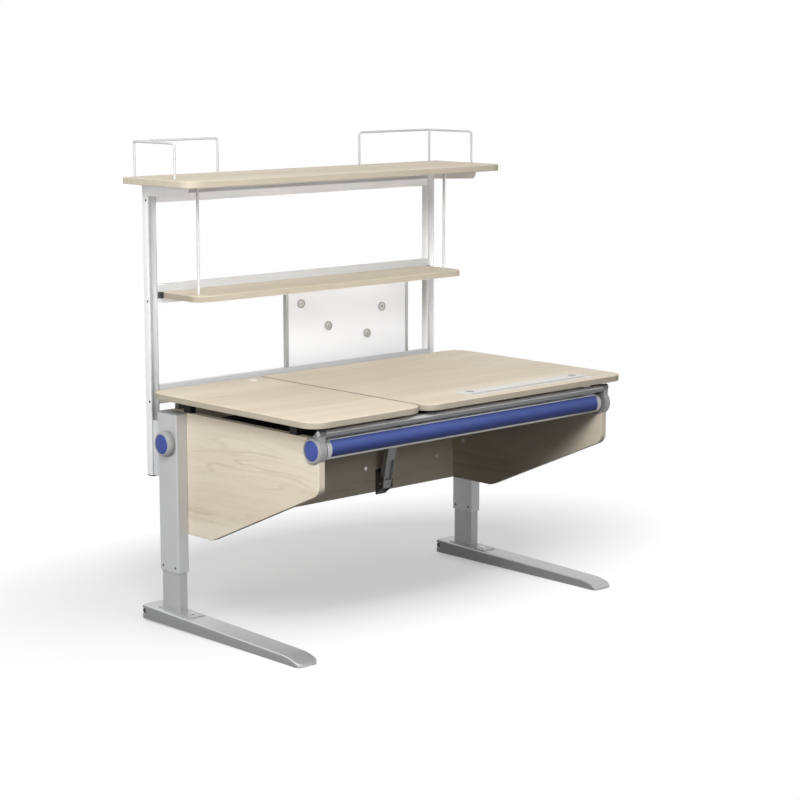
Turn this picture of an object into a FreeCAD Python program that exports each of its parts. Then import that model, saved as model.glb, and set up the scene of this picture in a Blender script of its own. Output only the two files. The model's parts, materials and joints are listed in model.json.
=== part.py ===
import FreeCAD, Part
import Sketcher
import os
import re

# A student desk with a hutch: two telescopic legs on long feet carry a wooden body with a pull-out
# drawer, a fixed left top, a tilting right top, and two shelves on uprights behind.
# X runs along the desk, Y towards its back, Z up from the floor. Lengths are in millimetres.

sizes = {
    # work surface
    "desk_width": 1180,
    "desk_height": 644,
    "top_depth": 686,
    "top_thick": 17,
    "top_corner": 50,
    "split_corner": 12,
    "top_edge": 2,
    "left_top_width": 389.5,
    "split_gap": 3,
    # cable hole and its cap in the left top
    "cable_hole": 10.5,
    "cable_rim": 13,
    "cable_lip": 1.5,
    "cable_plug": 8,
    "cable_side": 57,
    "cable_back": 44,
    # ruler let into the right top
    "ruler_length": 476,
    "ruler_width": 74,
    "ruler_thick": 3,
    "ruler_proud": 0.5,
    "ruler_front": 31,
    "ruler_side": 106,
    "stud_radius": 5,
    "stud_proud": 0.8,
    "stud_left": 39,
    "stud_right": 26,
    "stud_back": 18,
    # telescopic legs
    "leg_width": 37,
    "leg_depth": 82,
    "leg_wall": 2,
    "leg_round": 4,
    "leg_side_inset": 8.5,
    "leg_back_inset": 30,
    "leg_clear": 105.5,
    "leg_cap": 3,
    "slide_gap": 2,
    "bush_length": 60,
    "inner_head": 117,
    "inner_cap": 6,
    # feet
    "foot_length": 673,
    "foot_width": 73,
    "foot_out": 22,
    "foot_back": 60,
    "foot_tall_back": 46.5,
    "foot_tall_front": 29.5,
    "foot_clear": 5,
    "foot_wall": 5,
    "foot_edge": 3,
    "foot_plan_round": 24,
    "nose_length": 58,
    "nose_tall": 13,
    "nose_heel": 8,
    "nose_bend": 70,
    "notch_sill": 15,
    "notch_tall": 16,
    "notch_depth": 16,
    "notch_brow": 3,
    "plug_radius": 7,
    "plug_inset": 1.5,
    "glide_radius": 14,
    "glide_inset": 42,
    "seat_thick": 3,
    "seat_width": 45,
    "seat_back": 6,
    "seat_front": 60,
    "seat_screw_radius": 8,
    "seat_screw_head": 2,
    # wooden body
    "side_thick": 20,
    "back_thick": 18,
    "panel_drop": 33,
    "panel_lift": 104.4167,
    "panel_setback": 32,
    "panel_recess": 3,
    "panel_nose": 142.5,
    "panel_heel": 181,
    "panel_round": 32,
    "panel_edge": 1.5,
    "button_radius": 6,
    "button_proud": 1.5,
    "button_rise": 76,
    "button_near": 163,
    "button_far": 455,
    "side_button_rise": 119,
    "side_button_front": 43,
    # end housings at the front
    "bar_setback": 55,
    "bar_drop": 31,
    "housing_radius": 35,
    "housing_stand": 6.5,
    "disc_radius": 26.5,
    "disc_recess": 4,
    "disc_thick": 5.5,
    "lug_setback": 34,
    "lug_rise": 15,
    "lug_radius": 9,
    # front rail and its rubber buffers
    "rail_setback": 25,
    "rail_depth": 24,
    "rail_tall": 18,
    "rail_lift": 3,
    "rail_bevel": 5,
    "rail_groove": 4,
    "buffer_length": 36,
    "buffer_depth": 12,
    "buffer_inset": 84,
    # drawer
    "bar_radius": 27.5,
    "bar_bore": 19,
    "bar_flat": 22,
    "bar_end_gap": 6.5,
    "collar_length": 15,
    "inlay_thick": 3,
    "inlay_recess": 0.6,
    "inlay_drop": 19,
    "inlay_rise": 25.5,
    "tray_depth": 400,
    "tray_tall": 52,
    "tray_wall": 4,
    "tray_lift": 2.5,
    "runner_depth": 13,
    "runner_tall": 28,
    "runner_wall": 2,
    "runner_length": 420,
    "slide_length": 380,
    # inner frame under the tops
    "cross_tall": 14,
    "beam_width": 30,
    "beam_tall": 24,
    "post_length": 28,
    "post_lead": 15,
    "front_post_setback": 118,
    # hinges of the right top
    "hinge_inset": 15,
    "hinge_drop": 11,
    "hinge_leaf": 3,
    "hinge_reach": 46,
    "hinge_width": 64,
    "hinge_end": 132,
    "knuckle_radius": 6,
    "knuckle_length": 24,
    "hinge_pin": 3,
    # tilt strut behind the drawer
    "strut_side": 221,
    "strut_room": 48,
    "strut_foot_rise": 27,
    "strut_stud_drop": 21,
    "strut_stand": 20,
    "strut_width": 32,
    "strut_depth": 20,
    "strut_wall": 3,
    "strut_tube": 200,
    "strut_end": 13,
    "rod_width": 14,
    "rod_thick": 8,
    "rod_engage": 110,
    "eye_radius": 11,
    "pivot_radius": 4,
    "pivot_play": 1.6,
    "ear_thick": 4,
    "ear_round": 12,
    "ear_drop": 35,
    "ear_rise": 41,
    # hutch frame
    "hutch_reach": 94,
    "hutch_rise": 576,
    "upright_width": 29,
    "upright_depth": 26,
    "upright_wall": 2.5,
    "upright_round": 3,
    "upright_inset": 3.5,
    "upright_gap": 51,
    "upright_drop": 247,
    "upright_cap": 3,
    "cross_rail_tall": 53,
    "cross_rail_thick": 15,
    "cross_rail_wall": 1.5,
    "low_rail_rise": 4,
    "mid_rail_rise": 282,
    "carrier_tall": 154,
    "carrier_drop": 92,
    "carrier_sheet": 3,
    "carrier_inset": 4,
    "carrier_flange": 26,
    # shelves
    "shelf_depth": 291,
    "shelf_thick": 18,
    "shelf_corner": 44,
    "arm_length": 178,
    "arm_tall": 40,
    "arm_tip": 24,
    "arm_thick": 4,
    "arm_round": 16,
    "lower_rise": 261,
    "lower_width": 1004,
    "lower_depth": 173,
    "lower_thick": 17,
    "lower_corner": 40,
    "clip_depth": 14,
    "hanger_radius": 4,
    "hanger_inset": 38,
    "hanger_setback": 53,
    # wire guards on the top shelf
    "guard_height": 95,
    "guard_length": 288,
    "guard_reach": 181.5,
    "guard_wire": 3.2,
    "guard_bend": 11,
    "guard_corner": 4,
    "guard_side_inset": 34.5,
    "guard_back_inset": 4.5,
    # magnet board between the two lower cross rails
    "board_width": 465,
    "board_offset": 187.5,
    "board_sheet": 3,
    "board_recess": 2,
    "board_edge": 11,
    "board_edge_depth": 12,
    "hook_width": 30,
    "hook_sheet": 3,
    "hook_grip": 18,
    "hook_inset": 60,
    "magnet_radius": 13,
    "magnet_thick": 7,
    # clamp knobs on the legs
    "knob_radius": 35,
    "knob_neck": 31,
    "knob_length": 18,
    "knob_drop": 85,
    "knob_rim": 4,
    "knob_disc_radius": 26,
    "knob_disc_thick": 4,
    "knob_disc_recess": 2.5,
    "knob_stud": 5,
    "washer_radius": 28,
    "washer_thick": 2.5,
    # screws
    "screw_radius": 3.4,
    "screw_head": 1,
    "leg_screw_inset": 14,
    "leg_screw_rise": 13.5,
    "rail_screw_rise": 8,
    "lug_screw_radius": 6,
    # fits and cuts
    "fit_gap": 0.3,
    "pin_fit": 0.05,
    "run_gap": 0.5,
    "overrun": 5,
}

# Places and lengths that follow from the sizes.
places = {
    "half_width": "desk_width / 2",
    "front": "-(top_depth + hutch_reach) / 2",
    "rear": "front + top_depth",
    "under_top": "desk_height - top_thick",
    "split_left": "left_top_width - half_width",
    "split_right": "split_left + split_gap",
    "right_top_width": "half_width - split_right",
    "panel_top": "under_top - panel_drop",
    "panel_bottom": "leg_end + panel_lift",
    "panel_outer": "leg_outer - leg_width",
    "panel_inner": "panel_outer - side_thick",
    "panel_front": "front + panel_setback",
    "back_rear": "leg_rear - panel_recess",
    "back_front": "back_rear - back_thick",
    "leg_outer": "half_width - leg_side_inset",
    "leg_rear": "rear - leg_back_inset",
    "leg_front": "leg_rear - leg_depth",
    "leg_middle": "leg_rear - leg_depth / 2",
    "leg_head": "panel_top - leg_cap",
    "leg_end": "seat_top + leg_clear",
    "leg_length": "(leg_head - leg_end)",
    "inner_length": "(leg_head - inner_head - inner_cap - seat_top)",
    "inner_side": "leg_wall + slide_gap",
    "foot_outer": "leg_outer + foot_out",
    "foot_rear": "leg_rear + foot_back",
    "foot_front": "foot_rear - foot_length",
    "foot_brow": "foot_rear - notch_brow",
    "foot_slope": "(foot_tall_back - foot_tall_front) / (foot_length - nose_length - notch_brow)",
    "notch_low": "foot_clear + notch_sill",
    "notch_high": "notch_low + notch_tall",
    "cavity_rear": "foot_rear - 2 * glide_inset",
    "cavity_front": "foot_front + nose_length + glide_inset",
    "seat_rear": "leg_rear + seat_back",
    "seat_top": "foot_tall_back - (foot_brow - seat_rear) * foot_slope + seat_thick",
    "bar_y": "front + bar_setback",
    "bar_z": "panel_top - bar_drop",
    "lug_y": "front + lug_setback",
    "lug_z": "panel_top + lug_rise",
    "lug_run": "sqrt((lug_y - bar_y)^2 + (lug_z - bar_z)^2)",
    "lug_sine": "(lug_z - bar_z) / lug_run",
    "lug_cosine": "(lug_y - bar_y) / lug_run",
    "rail_front": "front + rail_setback",
    "rail_rear": "rail_front + rail_depth",
    "rail_low": "panel_top + rail_lift",
    "rail_high": "rail_low + rail_tall",
    "bar_half": "panel_inner - bar_end_gap",
    "inlay_half": "bar_half - collar_length",
    "inlay_bed": "bar_radius - inlay_recess - inlay_thick",
    "inlay_low": "asin(inlay_drop / bar_radius)",
    "inlay_span": "inlay_low + asin(inlay_rise / bar_radius)",
    "tray_half": "panel_inner - runner_depth - run_gap",
    "tray_front": "bar_y + bar_flat",
    "tray_low": "bar_z - bar_radius + tray_lift",
    "runner_low": "tray_low + (tray_tall - runner_tall) / 2",
    "hinge_y": "rear - hinge_inset",
    "hinge_z": "under_top - hinge_drop",
    "cross_high": "panel_top + cross_tall",
    "strut_foot_y": "back_front - strut_stand",
    "strut_foot_z": "panel_bottom + strut_foot_rise",
    "strut_rise": "under_top - strut_stud_drop - strut_foot_z",
    "strut_head_y": "tray_front + tray_depth + strut_room + 2 * eye_radius",
    "strut_head_z": "under_top - strut_stud_drop",
    "strut_length": "sqrt(strut_rise^2 + (strut_foot_y - strut_head_y)^2)",
    "strut_lean": "atan((strut_foot_y - strut_head_y) / strut_rise)",
    "upright_outer": "panel_outer - upright_inset",
    "upright_inner": "upright_outer - upright_width",
    "upright_front": "rear + upright_gap",
    "upright_low": "desk_height - upright_drop",
    "shelf_back": "rear + hutch_reach",
    "shelf_front": "shelf_back - shelf_depth",
    "shelf_top": "desk_height + hutch_rise",
    "shelf_low": "shelf_top - shelf_thick",
    "low_rail_top": "desk_height + low_rail_rise",
    "mid_rail_top": "desk_height + mid_rail_rise",
    "mid_rail_low": "mid_rail_top - cross_rail_tall",
    "lower_top": "desk_height + lower_rise",
    "lower_low": "lower_top - lower_thick",
    "lower_front": "upright_front - lower_depth",
    "board_low": "low_rail_top + run_gap",
    "board_tall": "mid_rail_low - run_gap - board_low",
    "board_left": "board_offset - board_width / 2",
    "board_back": "upright_front + board_recess + board_sheet",
    "hook_back": "upright_front + cross_rail_thick + run_gap",
    "knob_z": "panel_top - knob_drop",
    "knob_face": "leg_outer + washer_thick",
}

# How near to a line an edge lies that counts as on it, as a share of its length.
near_share = 1e-5

# Magnets on the board, as shares of its width and height from the lower left corner.
magnet_shares = ((0.10, 0.81), (0.325, 0.48), (0.655, 0.32), (0.785, 0.655))

doc = FreeCAD.newDocument("student_desk")
sheet = doc.addObject("Spreadsheet::Sheet", "size")
for row, (word, length) in enumerate(sizes.items(), 1):
    sheet.set("A%d" % row, word)
    sheet.set("B%d" % row, str(length))
    sheet.setAlias("B%d" % row, word)
doc.recompute()

nodes = []
along_x = FreeCAD.Rotation(FreeCAD.Vector(0, 1, 0), 90)
along_y = FreeCAD.Rotation(FreeCAD.Vector(1, 0, 0), -90)
upright = FreeCAD.Rotation()


# Helpers

# Write the words of the two tables as references to cells of the sheet.
def link(text):
    def cell(found):
        word = found.group()
        if word in sizes:
            return "size." + word
        if word in places:
            return "(" + link(places[word]) + ")"
        return word
    return re.sub(r"[a-z]\w*", cell, text)


def bind(piece, **lengths):
    for name, text in lengths.items():
        piece.setExpression(name, link(text))
    return piece


def place(piece, x="0", y="0", z="0", turn=upright):
    piece.Placement = FreeCAD.Placement(FreeCAD.Vector(), turn)
    for axis, text in (("x", x), ("y", y), ("z", z)):
        piece.setExpression("Placement.Base." + axis, link(text))
    return piece


# Mark a piece as a sub-part that is handed on under its own name.
def node(piece):
    piece.Label = piece.Name
    nodes.append(piece)
    return piece


def box(name, length, width, height, x="0", y="0", z="0"):
    piece = bind(doc.addObject("Part::Box", name), Length=length, Width=width, Height=height)
    return place(piece, x, y, z)


def rod(name, radius, length, x="0", y="0", z="0", turn=upright):
    piece = bind(doc.addObject("Part::Cylinder", name), Radius=radius, Height=length)
    return place(piece, x, y, z, turn)


def cut(name, base, *tools):
    piece = doc.addObject("Part::Cut", name)
    piece.Base = base
    piece.Tool = tools[0] if len(tools) == 1 else fuse(name + "_cutters", *tools)
    return piece


def fuse(name, *pieces):
    piece = doc.addObject("Part::MultiFuse", name)
    piece.Shapes = list(pieces)
    return piece


# Separate solids that share one name.
def group(name, pieces):
    piece = doc.addObject("Part::Compound", name)
    piece.Links = list(pieces)
    return piece


# The same piece on the other side of the desk's middle plane.
def mirror(name, source):
    piece = doc.addObject("Part::Mirroring", name)
    piece.Source = source
    piece.Normal = FreeCAD.Vector(1, 0, 0)
    return piece


def pair(name, source):
    return group(name, [source, mirror(name + "_right", source)])


def sketch_on(body, plane, corners):
    sketch = body.newObject("Sketcher::SketchObject", body.Name + "_outline")
    sketch.AttachmentSupport = [(origin_of(body, plane), "")]
    sketch.MapMode = "FlatFace"
    count = len(corners)
    start = [FreeCAD.Vector(index, index * index, 0) for index in range(count)]
    for index in range(count):
        sketch.addGeometry(Part.LineSegment(start[index], start[(index + 1) % count]), False)
    for index in range(count):
        sketch.addConstraint(Sketcher.Constraint("Coincident", index, 2, (index + 1) % count, 1))
    for index, corner in enumerate(corners):
        for kind, text in zip(("DistanceX", "DistanceY"), corner):
            datum = sketch.addConstraint(Sketcher.Constraint(kind, -1, 1, index, 1, 1))
            sketch.setExpression("Constraints[%d]" % datum, link(text))
    return sketch


def origin_of(body, role):
    return [feature for feature in body.Origin.OriginFeatures if feature.Role == role][0]


# Names of the straight edges that lie on the line through a spot.
def edges_on(shape, spot, direction):
    found = []
    for number, edge in enumerate(shape.Edges, 1):
        if edge.Curve.TypeId != "Part::GeomLine":
            continue
        offset = (edge.Vertexes[0].Point - spot).cross(direction).Length
        turn = edge.Curve.Direction.cross(direction).Length
        if turn < near_share and offset < near_share * edge.Length:
            found.append("Edge%d" % number)
    return found


def round_edges(body, base, names, radius):
    piece = body.newObject("PartDesign::Fillet", body.Name + "_round")
    piece.Base = (base, names)
    bind(piece, Radius=radius)
    doc.recompute()
    return piece


# A straight-sided outline padded to a thickness. rounds gives corner radii by corner number, and
# soft gives the radius that breaks both edges of the listed sides.
def plate(name, plane, corners, thick, x="0", y="0", z="0", rounds=None, soft=None):
    body = doc.addObject("PartDesign::Body", name)
    sketch = sketch_on(body, plane, corners)
    last = body.newObject("PartDesign::Pad", name + "_pad")
    last.Profile = sketch
    bind(last, Length=thick)
    doc.recompute()
    normal = sketch.Placement.Rotation.multVec(FreeCAD.Vector(0, 0, 1))
    spots = [sketch.Placement.multVec(line.StartPoint) for line in sketch.Geometry]
    by_radius = {}
    for number, radius in (rounds or {}).items():
        by_radius.setdefault(radius, []).append(number)
    for radius, numbers in by_radius.items():
        names = [edge for number in numbers for edge in edges_on(last.Shape, spots[number], normal)]
        last = round_edges(body, last, names, radius)
    if soft:
        radius, numbers = soft
        names = []
        for number in numbers:
            ahead = spots[(number + 1) % len(spots)] - spots[number]
            ahead.normalize()
            for side in (spots[number], spots[number] + normal * body.Group[1].Length.Value):
                names += edges_on(last.Shape, side, ahead)
        round_edges(body, last, names, radius)
    return place(body, x, y, z)


# An outline of distances along X and radii, turned round the X axis.
def turned(name, corners, x="0", y="0", z="0"):
    body = doc.addObject("PartDesign::Body", name)
    piece = body.newObject("PartDesign::Revolution", name + "_turn")
    piece.Profile = sketch_on(body, "XY_Plane", corners)
    piece.ReferenceAxis = (origin_of(body, "X_Axis"), [""])
    return place(body, x, y, z)


def rectangle(left, right, near, far):
    return ((left, near), (right, near), (right, far), (left, far))


def all_corners(radius):
    return {0: radius, 1: radius, 2: radius, 3: radius}


# A straight tube with rounded corners, standing on z.
def square_tube(name, width, depth, wall, height, corner, x, y, z):
    outline = rectangle("0", width, "0", depth)
    shell = plate(name + "_shell", "XY_Plane", outline, height, x, y, z, rounds=all_corners(corner))
    bore = box(name + "_bore", "%s - 2 * %s" % (width, wall), "%s - 2 * %s" % (depth, wall),
               "%s + 2 * overrun" % height, "%s + %s" % (x, wall), "%s + %s" % (y, wall), z + " - overrun")
    return cut(name, shell, bore)


# Feet

def feet():
    outline = (
        ("foot_rear", "foot_clear"),
        ("foot_rear", "notch_low"),
        ("foot_rear - notch_depth", "notch_low"),
        ("foot_rear - notch_depth", "notch_high"),
        ("foot_brow", "notch_high"),
        ("foot_brow", "foot_tall_back"),
        ("foot_front + nose_length", "foot_tall_front"),
        ("foot_front", "nose_tall"),
        ("foot_front + nose_heel", "foot_clear"),
    )
    side = plate("foot_side", "YZ_Plane", outline, "foot_width", "-foot_outer",
                 rounds={6: "nose_bend", 7: "nose_heel / 2"}, soft=("foot_edge", (5, 8)))
    plan = plate("foot_plan", "XY_Plane", rectangle("0", "foot_width", "foot_front", "foot_rear"),
                 "foot_tall_back", "-foot_outer", rounds={0: "foot_plan_round", 1: "foot_plan_round"})
    beam = doc.addObject("Part::Common", "foot_beam")
    beam.Base = side
    beam.Tool = plan
    hollow = (
        ("cavity_rear", "-overrun"),
        ("cavity_rear", "foot_tall_back - foot_wall - (foot_brow - cavity_rear) * foot_slope"),
        ("cavity_front", "foot_tall_back - foot_wall - (foot_brow - cavity_front) * foot_slope"),
        ("cavity_front", "-overrun"),
    )
    cavity = plate("foot_cavity", "YZ_Plane", hollow, "foot_width - 2 * foot_wall",
                   "foot_wall - foot_outer")
    left = node(cut("foot_left", beam, cavity))
    node(mirror("foot_right", left))

    round_end = rod("plug_round", "plug_radius", "foot_width - 2 * foot_edge", "foot_edge - foot_outer",
                    "foot_rear - plug_radius - plug_inset", "notch_low + notch_tall / 2", along_x)
    stem = box("plug_stem", "foot_width - 2 * foot_edge", "notch_depth - plug_radius - plug_inset",
               "2 * plug_radius", "foot_edge - foot_outer", "foot_rear - notch_depth",
               "notch_low + notch_tall / 2 - plug_radius")
    node(pair("foot_end_plugs", fuse("foot_end_plug", round_end, stem)))

    glides = [
        rod("glide_back", "glide_radius", "foot_clear", "foot_width / 2 - foot_outer",
            "foot_rear - glide_inset"),
        rod("glide_front", "glide_radius", "foot_clear", "foot_width / 2 - foot_outer",
            "foot_front + glide_inset"),
    ]
    node(group("foot_glides", glides + [mirror(glide.Name + "_right", glide) for glide in glides]))

    screw = rod("seat_screw", "seat_screw_radius", "seat_screw_head", "leg_width / 2 - leg_outer",
                "leg_front - seat_front / 2", "seat_top")
    node(pair("seat_screws", screw))


# Legs

def legs():
    # The inner tube is welded to a wedge-shaped seat that lies on the sloping foot.
    wedge = (
        ("seat_rear", "seat_top - seat_thick"),
        ("seat_rear", "seat_top"),
        ("leg_front - seat_front", "seat_top"),
        ("leg_front - seat_front", "foot_tall_back - (foot_brow - leg_front + seat_front) * foot_slope"),
    )
    seat = plate("leg_seat", "YZ_Plane", wedge, "seat_width", "leg_width / 2 - leg_outer - seat_width / 2")
    inner = square_tube("inner_shaft", "(leg_width - 2 * inner_side)", "(leg_depth - 2 * inner_side)",
                        "leg_wall", "inner_length", "leg_round / 2",
                        "inner_side - leg_outer", "leg_front + inner_side", "seat_top")
    node(pair("inner_tubes", fuse("inner_tube", seat, inner)))
    guide = box("inner_guide", "leg_width - 2 * (leg_wall + fit_gap)", "leg_depth - 2 * (leg_wall + fit_gap)",
                "inner_cap", "leg_wall + fit_gap - leg_outer", "leg_front + leg_wall + fit_gap",
                "seat_top + inner_length")
    node(pair("inner_guides", guide))

    tube = square_tube("outer_tube_raw", "leg_width", "leg_depth", "leg_wall", "leg_length", "leg_round",
                       "-leg_outer", "leg_front", "leg_end")
    hole = rod("knob_hole", "knob_stud + fit_gap", "2 * leg_wall", "-leg_outer - leg_wall / 2",
               "leg_middle", "knob_z", along_x)
    node(mirror("outer_tube_right", node(cut("outer_tube_left", tube, hole))))

    sleeve = box("bush_sleeve", "leg_width - 2 * leg_wall", "leg_depth - 2 * leg_wall", "bush_length",
                 "leg_wall - leg_outer", "leg_front + leg_wall", "leg_end")
    bore = box("bush_bore", "leg_width - 2 * (inner_side - fit_gap)",
               "leg_depth - 2 * (inner_side - fit_gap)", "bush_length + 2 * overrun",
               "inner_side - fit_gap - leg_outer", "leg_front + inner_side - fit_gap", "leg_end - overrun")
    node(pair("guide_bushes", cut("guide_bush", sleeve, bore)))


# Clamp knobs: a silver grip with a coloured disc, turning on a stud through the leg's wall.
def knobs():
    washer = rod("knob_washer", "washer_radius", "washer_thick", "-knob_face", "leg_middle", "knob_z",
                 along_x)
    hole = rod("washer_hole", "knob_stud + fit_gap", "washer_thick + 2 * overrun", "-knob_face - overrun",
               "leg_middle", "knob_z", along_x)
    node(pair("knob_washers", cut("knob_washer_ring", washer, hole)))
    grip = turned("knob_grip", (
        ("0", "0"),
        ("0", "knob_neck"),
        ("-knob_rim", "knob_neck"),
        ("-knob_rim", "knob_radius"),
        ("knob_rim - knob_length", "knob_radius"),
        ("-knob_length", "knob_radius - knob_rim"),
        ("-knob_length", "knob_disc_radius + fit_gap"),
        ("knob_disc_recess - knob_length", "knob_disc_radius + fit_gap"),
        ("knob_disc_recess - knob_length", "0"),
    ), "-knob_face", "leg_middle", "knob_z")
    stud = rod("knob_stud_rod", "knob_stud", "washer_thick + leg_wall", "-knob_face", "leg_middle", "knob_z",
               along_x)
    left = node(fuse("leg_knob_left", grip, stud))
    node(mirror("leg_knob_right", left))
    disc = turned("leg_knob_disc_left", (
        ("knob_disc_thick", "0"),
        ("knob_disc_thick", "knob_disc_radius"),
        ("knob_disc_thick / 4", "knob_disc_radius"),
        ("0", "knob_disc_radius - knob_disc_thick / 2"),
        ("0", "0"),
    ), "knob_disc_recess - knob_length - knob_face - knob_disc_thick", "leg_middle", "knob_z")
    node(mirror("leg_knob_disc_right", node(disc)))


# Wooden body

def panels():
    outline = (
        ("back_rear", "panel_top"),
        ("panel_front", "panel_top"),
        ("panel_front", "panel_top - panel_nose"),
        ("back_rear - panel_heel", "panel_bottom"),
        ("back_rear", "panel_bottom"),
    )
    board = plate("side_board", "YZ_Plane", outline, "side_thick", "-panel_outer",
                  rounds={2: "panel_round", 3: "panel_round"}, soft=("panel_edge", (1, 2, 3)))
    # The front corner makes room for the end housing.
    bay = rod("housing_bay", "housing_radius + fit_gap", "side_thick + 2 * overrun", "-panel_outer - overrun",
              "bar_y", "bar_z", along_x)
    corner = box("housing_corner", "side_thick + 2 * overrun", "2 * housing_radius", "2 * housing_radius",
                 "-panel_outer - overrun", "bar_y - 2 * housing_radius", "bar_z")
    node(mirror("side_panel_right", node(cut("side_panel_left", board, bay, corner))))
    node(plate("back_panel", "XZ_Plane",
               rectangle("-panel_inner", "panel_inner", "panel_bottom", "panel_top"), "back_thick",
               y="back_rear", soft=("panel_edge", (0,))))

    buttons = []
    for number, spot in enumerate(("-button_far", "-button_near", "button_near", "button_far"), 1):
        buttons.append(rod("back_button_%d" % number, "button_radius", "button_proud", spot,
                           "back_front - button_proud", "panel_bottom + button_rise", along_y))
    side = rod("side_button", "button_radius", "button_proud", "-panel_inner",
               "back_front - side_button_front", "panel_bottom + side_button_rise", along_x)
    node(group("panel_buttons", buttons + [side, mirror("side_button_right", side)]))


# End housings that close the front corners and hold the front rail

def housings():
    drum = turned("housing_drum", (
        ("housing_stand + side_thick", "0"),
        ("housing_stand + side_thick", "housing_radius"),
        ("disc_recess", "housing_radius"),
        ("0", "housing_radius - disc_recess"),
        ("0", "disc_radius + fit_gap"),
        ("disc_recess", "disc_radius + fit_gap"),
        ("disc_recess", "0"),
    ), "-panel_outer - housing_stand", "bar_y", "bar_z")
    boss = rod("housing_boss", "lug_radius", "side_thick", "-panel_outer", "lug_y", "lug_z", along_x)
    web = plate("housing_web", "YZ_Plane", (
        ("lug_y + lug_radius * lug_sine", "lug_z - lug_radius * lug_cosine"),
        ("lug_y - lug_radius * lug_sine", "lug_z + lug_radius * lug_cosine"),
        ("bar_y - bar_radius * lug_sine", "bar_z + bar_radius * lug_cosine"),
        ("bar_y + bar_radius * lug_sine", "bar_z - bar_radius * lug_cosine"),
    ), "side_thick", "-panel_outer")
    node(pair("end_housings", fuse("end_housing", drum, web, boss)))
    disc = turned("end_disc", (
        ("disc_thick", "0"),
        ("disc_thick", "disc_radius"),
        ("disc_thick / 4", "disc_radius"),
        ("0", "disc_radius - disc_thick / 2"),
        ("0", "0"),
    ), "-panel_outer - housing_stand + disc_recess - disc_thick", "bar_y", "bar_z")
    node(pair("end_discs", disc))


# Front rail, inner frame and supports under the tops

def inner_frame():
    profile = (
        ("rail_rear", "rail_low"),
        ("rail_rear", "rail_high"),
        ("rail_front + rail_bevel", "rail_high"),
        ("rail_front", "rail_high - rail_bevel"),
        ("rail_front", "rail_low + rail_groove"),
        ("rail_front + rail_groove", "rail_low + rail_groove"),
        ("rail_front + rail_groove", "rail_low"),
    )
    node(plate("front_rail", "YZ_Plane", profile, "2 * panel_inner", "-panel_inner"))
    middles = ("buffer_inset - half_width", "split_left - buffer_inset", "split_right + buffer_inset",
               "(split_right + half_width) / 2", "half_width - buffer_inset")
    node(group("rail_buffers", [
        box("rail_buffer_%d" % number, "buffer_length", "buffer_depth", "under_top - rail_high",
            middle + " - buffer_length / 2", "(rail_front + rail_rear - buffer_depth + rail_bevel) / 2",
            "rail_high")
        for number, middle in enumerate(middles, 1)]))
    cross = box("rear_cross_rail", "2 * panel_inner", "back_thick", "cross_tall", "-panel_inner",
                "back_front", "panel_top")
    beam = box("middle_beam", "beam_width", "back_front - rail_rear", "beam_tall", "split_left - beam_width",
               "rail_rear", "under_top - beam_tall")
    node(group("top_frame", [cross, beam]))
    posts = [
        box("top_post_back", "side_thick", "post_length", "panel_drop", "-panel_outer",
            "leg_front - post_lead", "panel_top"),
        box("top_post_front", "side_thick", "post_length", "panel_drop", "-panel_outer",
            "front + front_post_setback", "panel_top"),
    ]
    node(group("top_posts", posts + [mirror(post.Name + "_right", post) for post in posts]))


# Work surface

def tops():
    left = plate("left_board", "XY_Plane", rectangle("-half_width", "split_left", "front", "rear"),
                 "top_thick", z="under_top", rounds={**all_corners("top_corner"), 2: "split_corner"},
                 soft=("top_edge", (0, 1, 2, 3)))
    hole = rod("cable_bore", "cable_hole", "top_thick + 2 * overrun", "split_left - cable_side",
               "rear - cable_back", "under_top - overrun")
    node(cut("left_top", left, hole))
    rim = rod("cable_cap_rim", "cable_rim", "cable_lip", "split_left - cable_side", "rear - cable_back",
              "desk_height")
    plug = rod("cable_cap_plug", "cable_hole - fit_gap", "cable_plug", "split_left - cable_side",
               "rear - cable_back", "desk_height - cable_plug")
    node(fuse("cable_cap", rim, plug))

    right = plate("right_board", "XY_Plane", rectangle("split_right", "half_width", "front", "rear"),
                  "top_thick", z="under_top", rounds={**all_corners("top_corner"), 3: "split_corner"},
                  soft=("top_edge", (0, 1, 2, 3)))
    bed = box("ruler_bed", "ruler_length + 2 * fit_gap", "ruler_width + 2 * fit_gap",
              "ruler_thick - ruler_proud + overrun", "half_width - ruler_side - ruler_length - fit_gap",
              "front + ruler_front - fit_gap", "desk_height - ruler_thick + ruler_proud")
    node(cut("right_top", right, bed))
    strip = box("ruler_strip", "ruler_length", "ruler_width", "ruler_thick",
                "half_width - ruler_side - ruler_length", "front + ruler_front",
                "desk_height - ruler_thick + ruler_proud")
    ends = ("half_width - ruler_side - stud_right", "half_width - ruler_side - ruler_length + stud_left")
    row = "front + ruler_front + ruler_width - stud_back"
    bores = [rod("ruler_bore_%d" % number, "stud_radius + fit_gap", "ruler_thick + 2 * overrun", end, row,
                 "desk_height - ruler_thick - overrun") for number, end in enumerate(ends, 1)]
    node(cut("ruler", strip, *bores))
    node(group("ruler_studs", [
        rod("ruler_stud_%d" % number, "stud_radius", "ruler_thick + stud_proud", end, row,
            "desk_height - ruler_thick + ruler_proud") for number, end in enumerate(ends, 1)]))


# Hinges along the back edge of the right top

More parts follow.
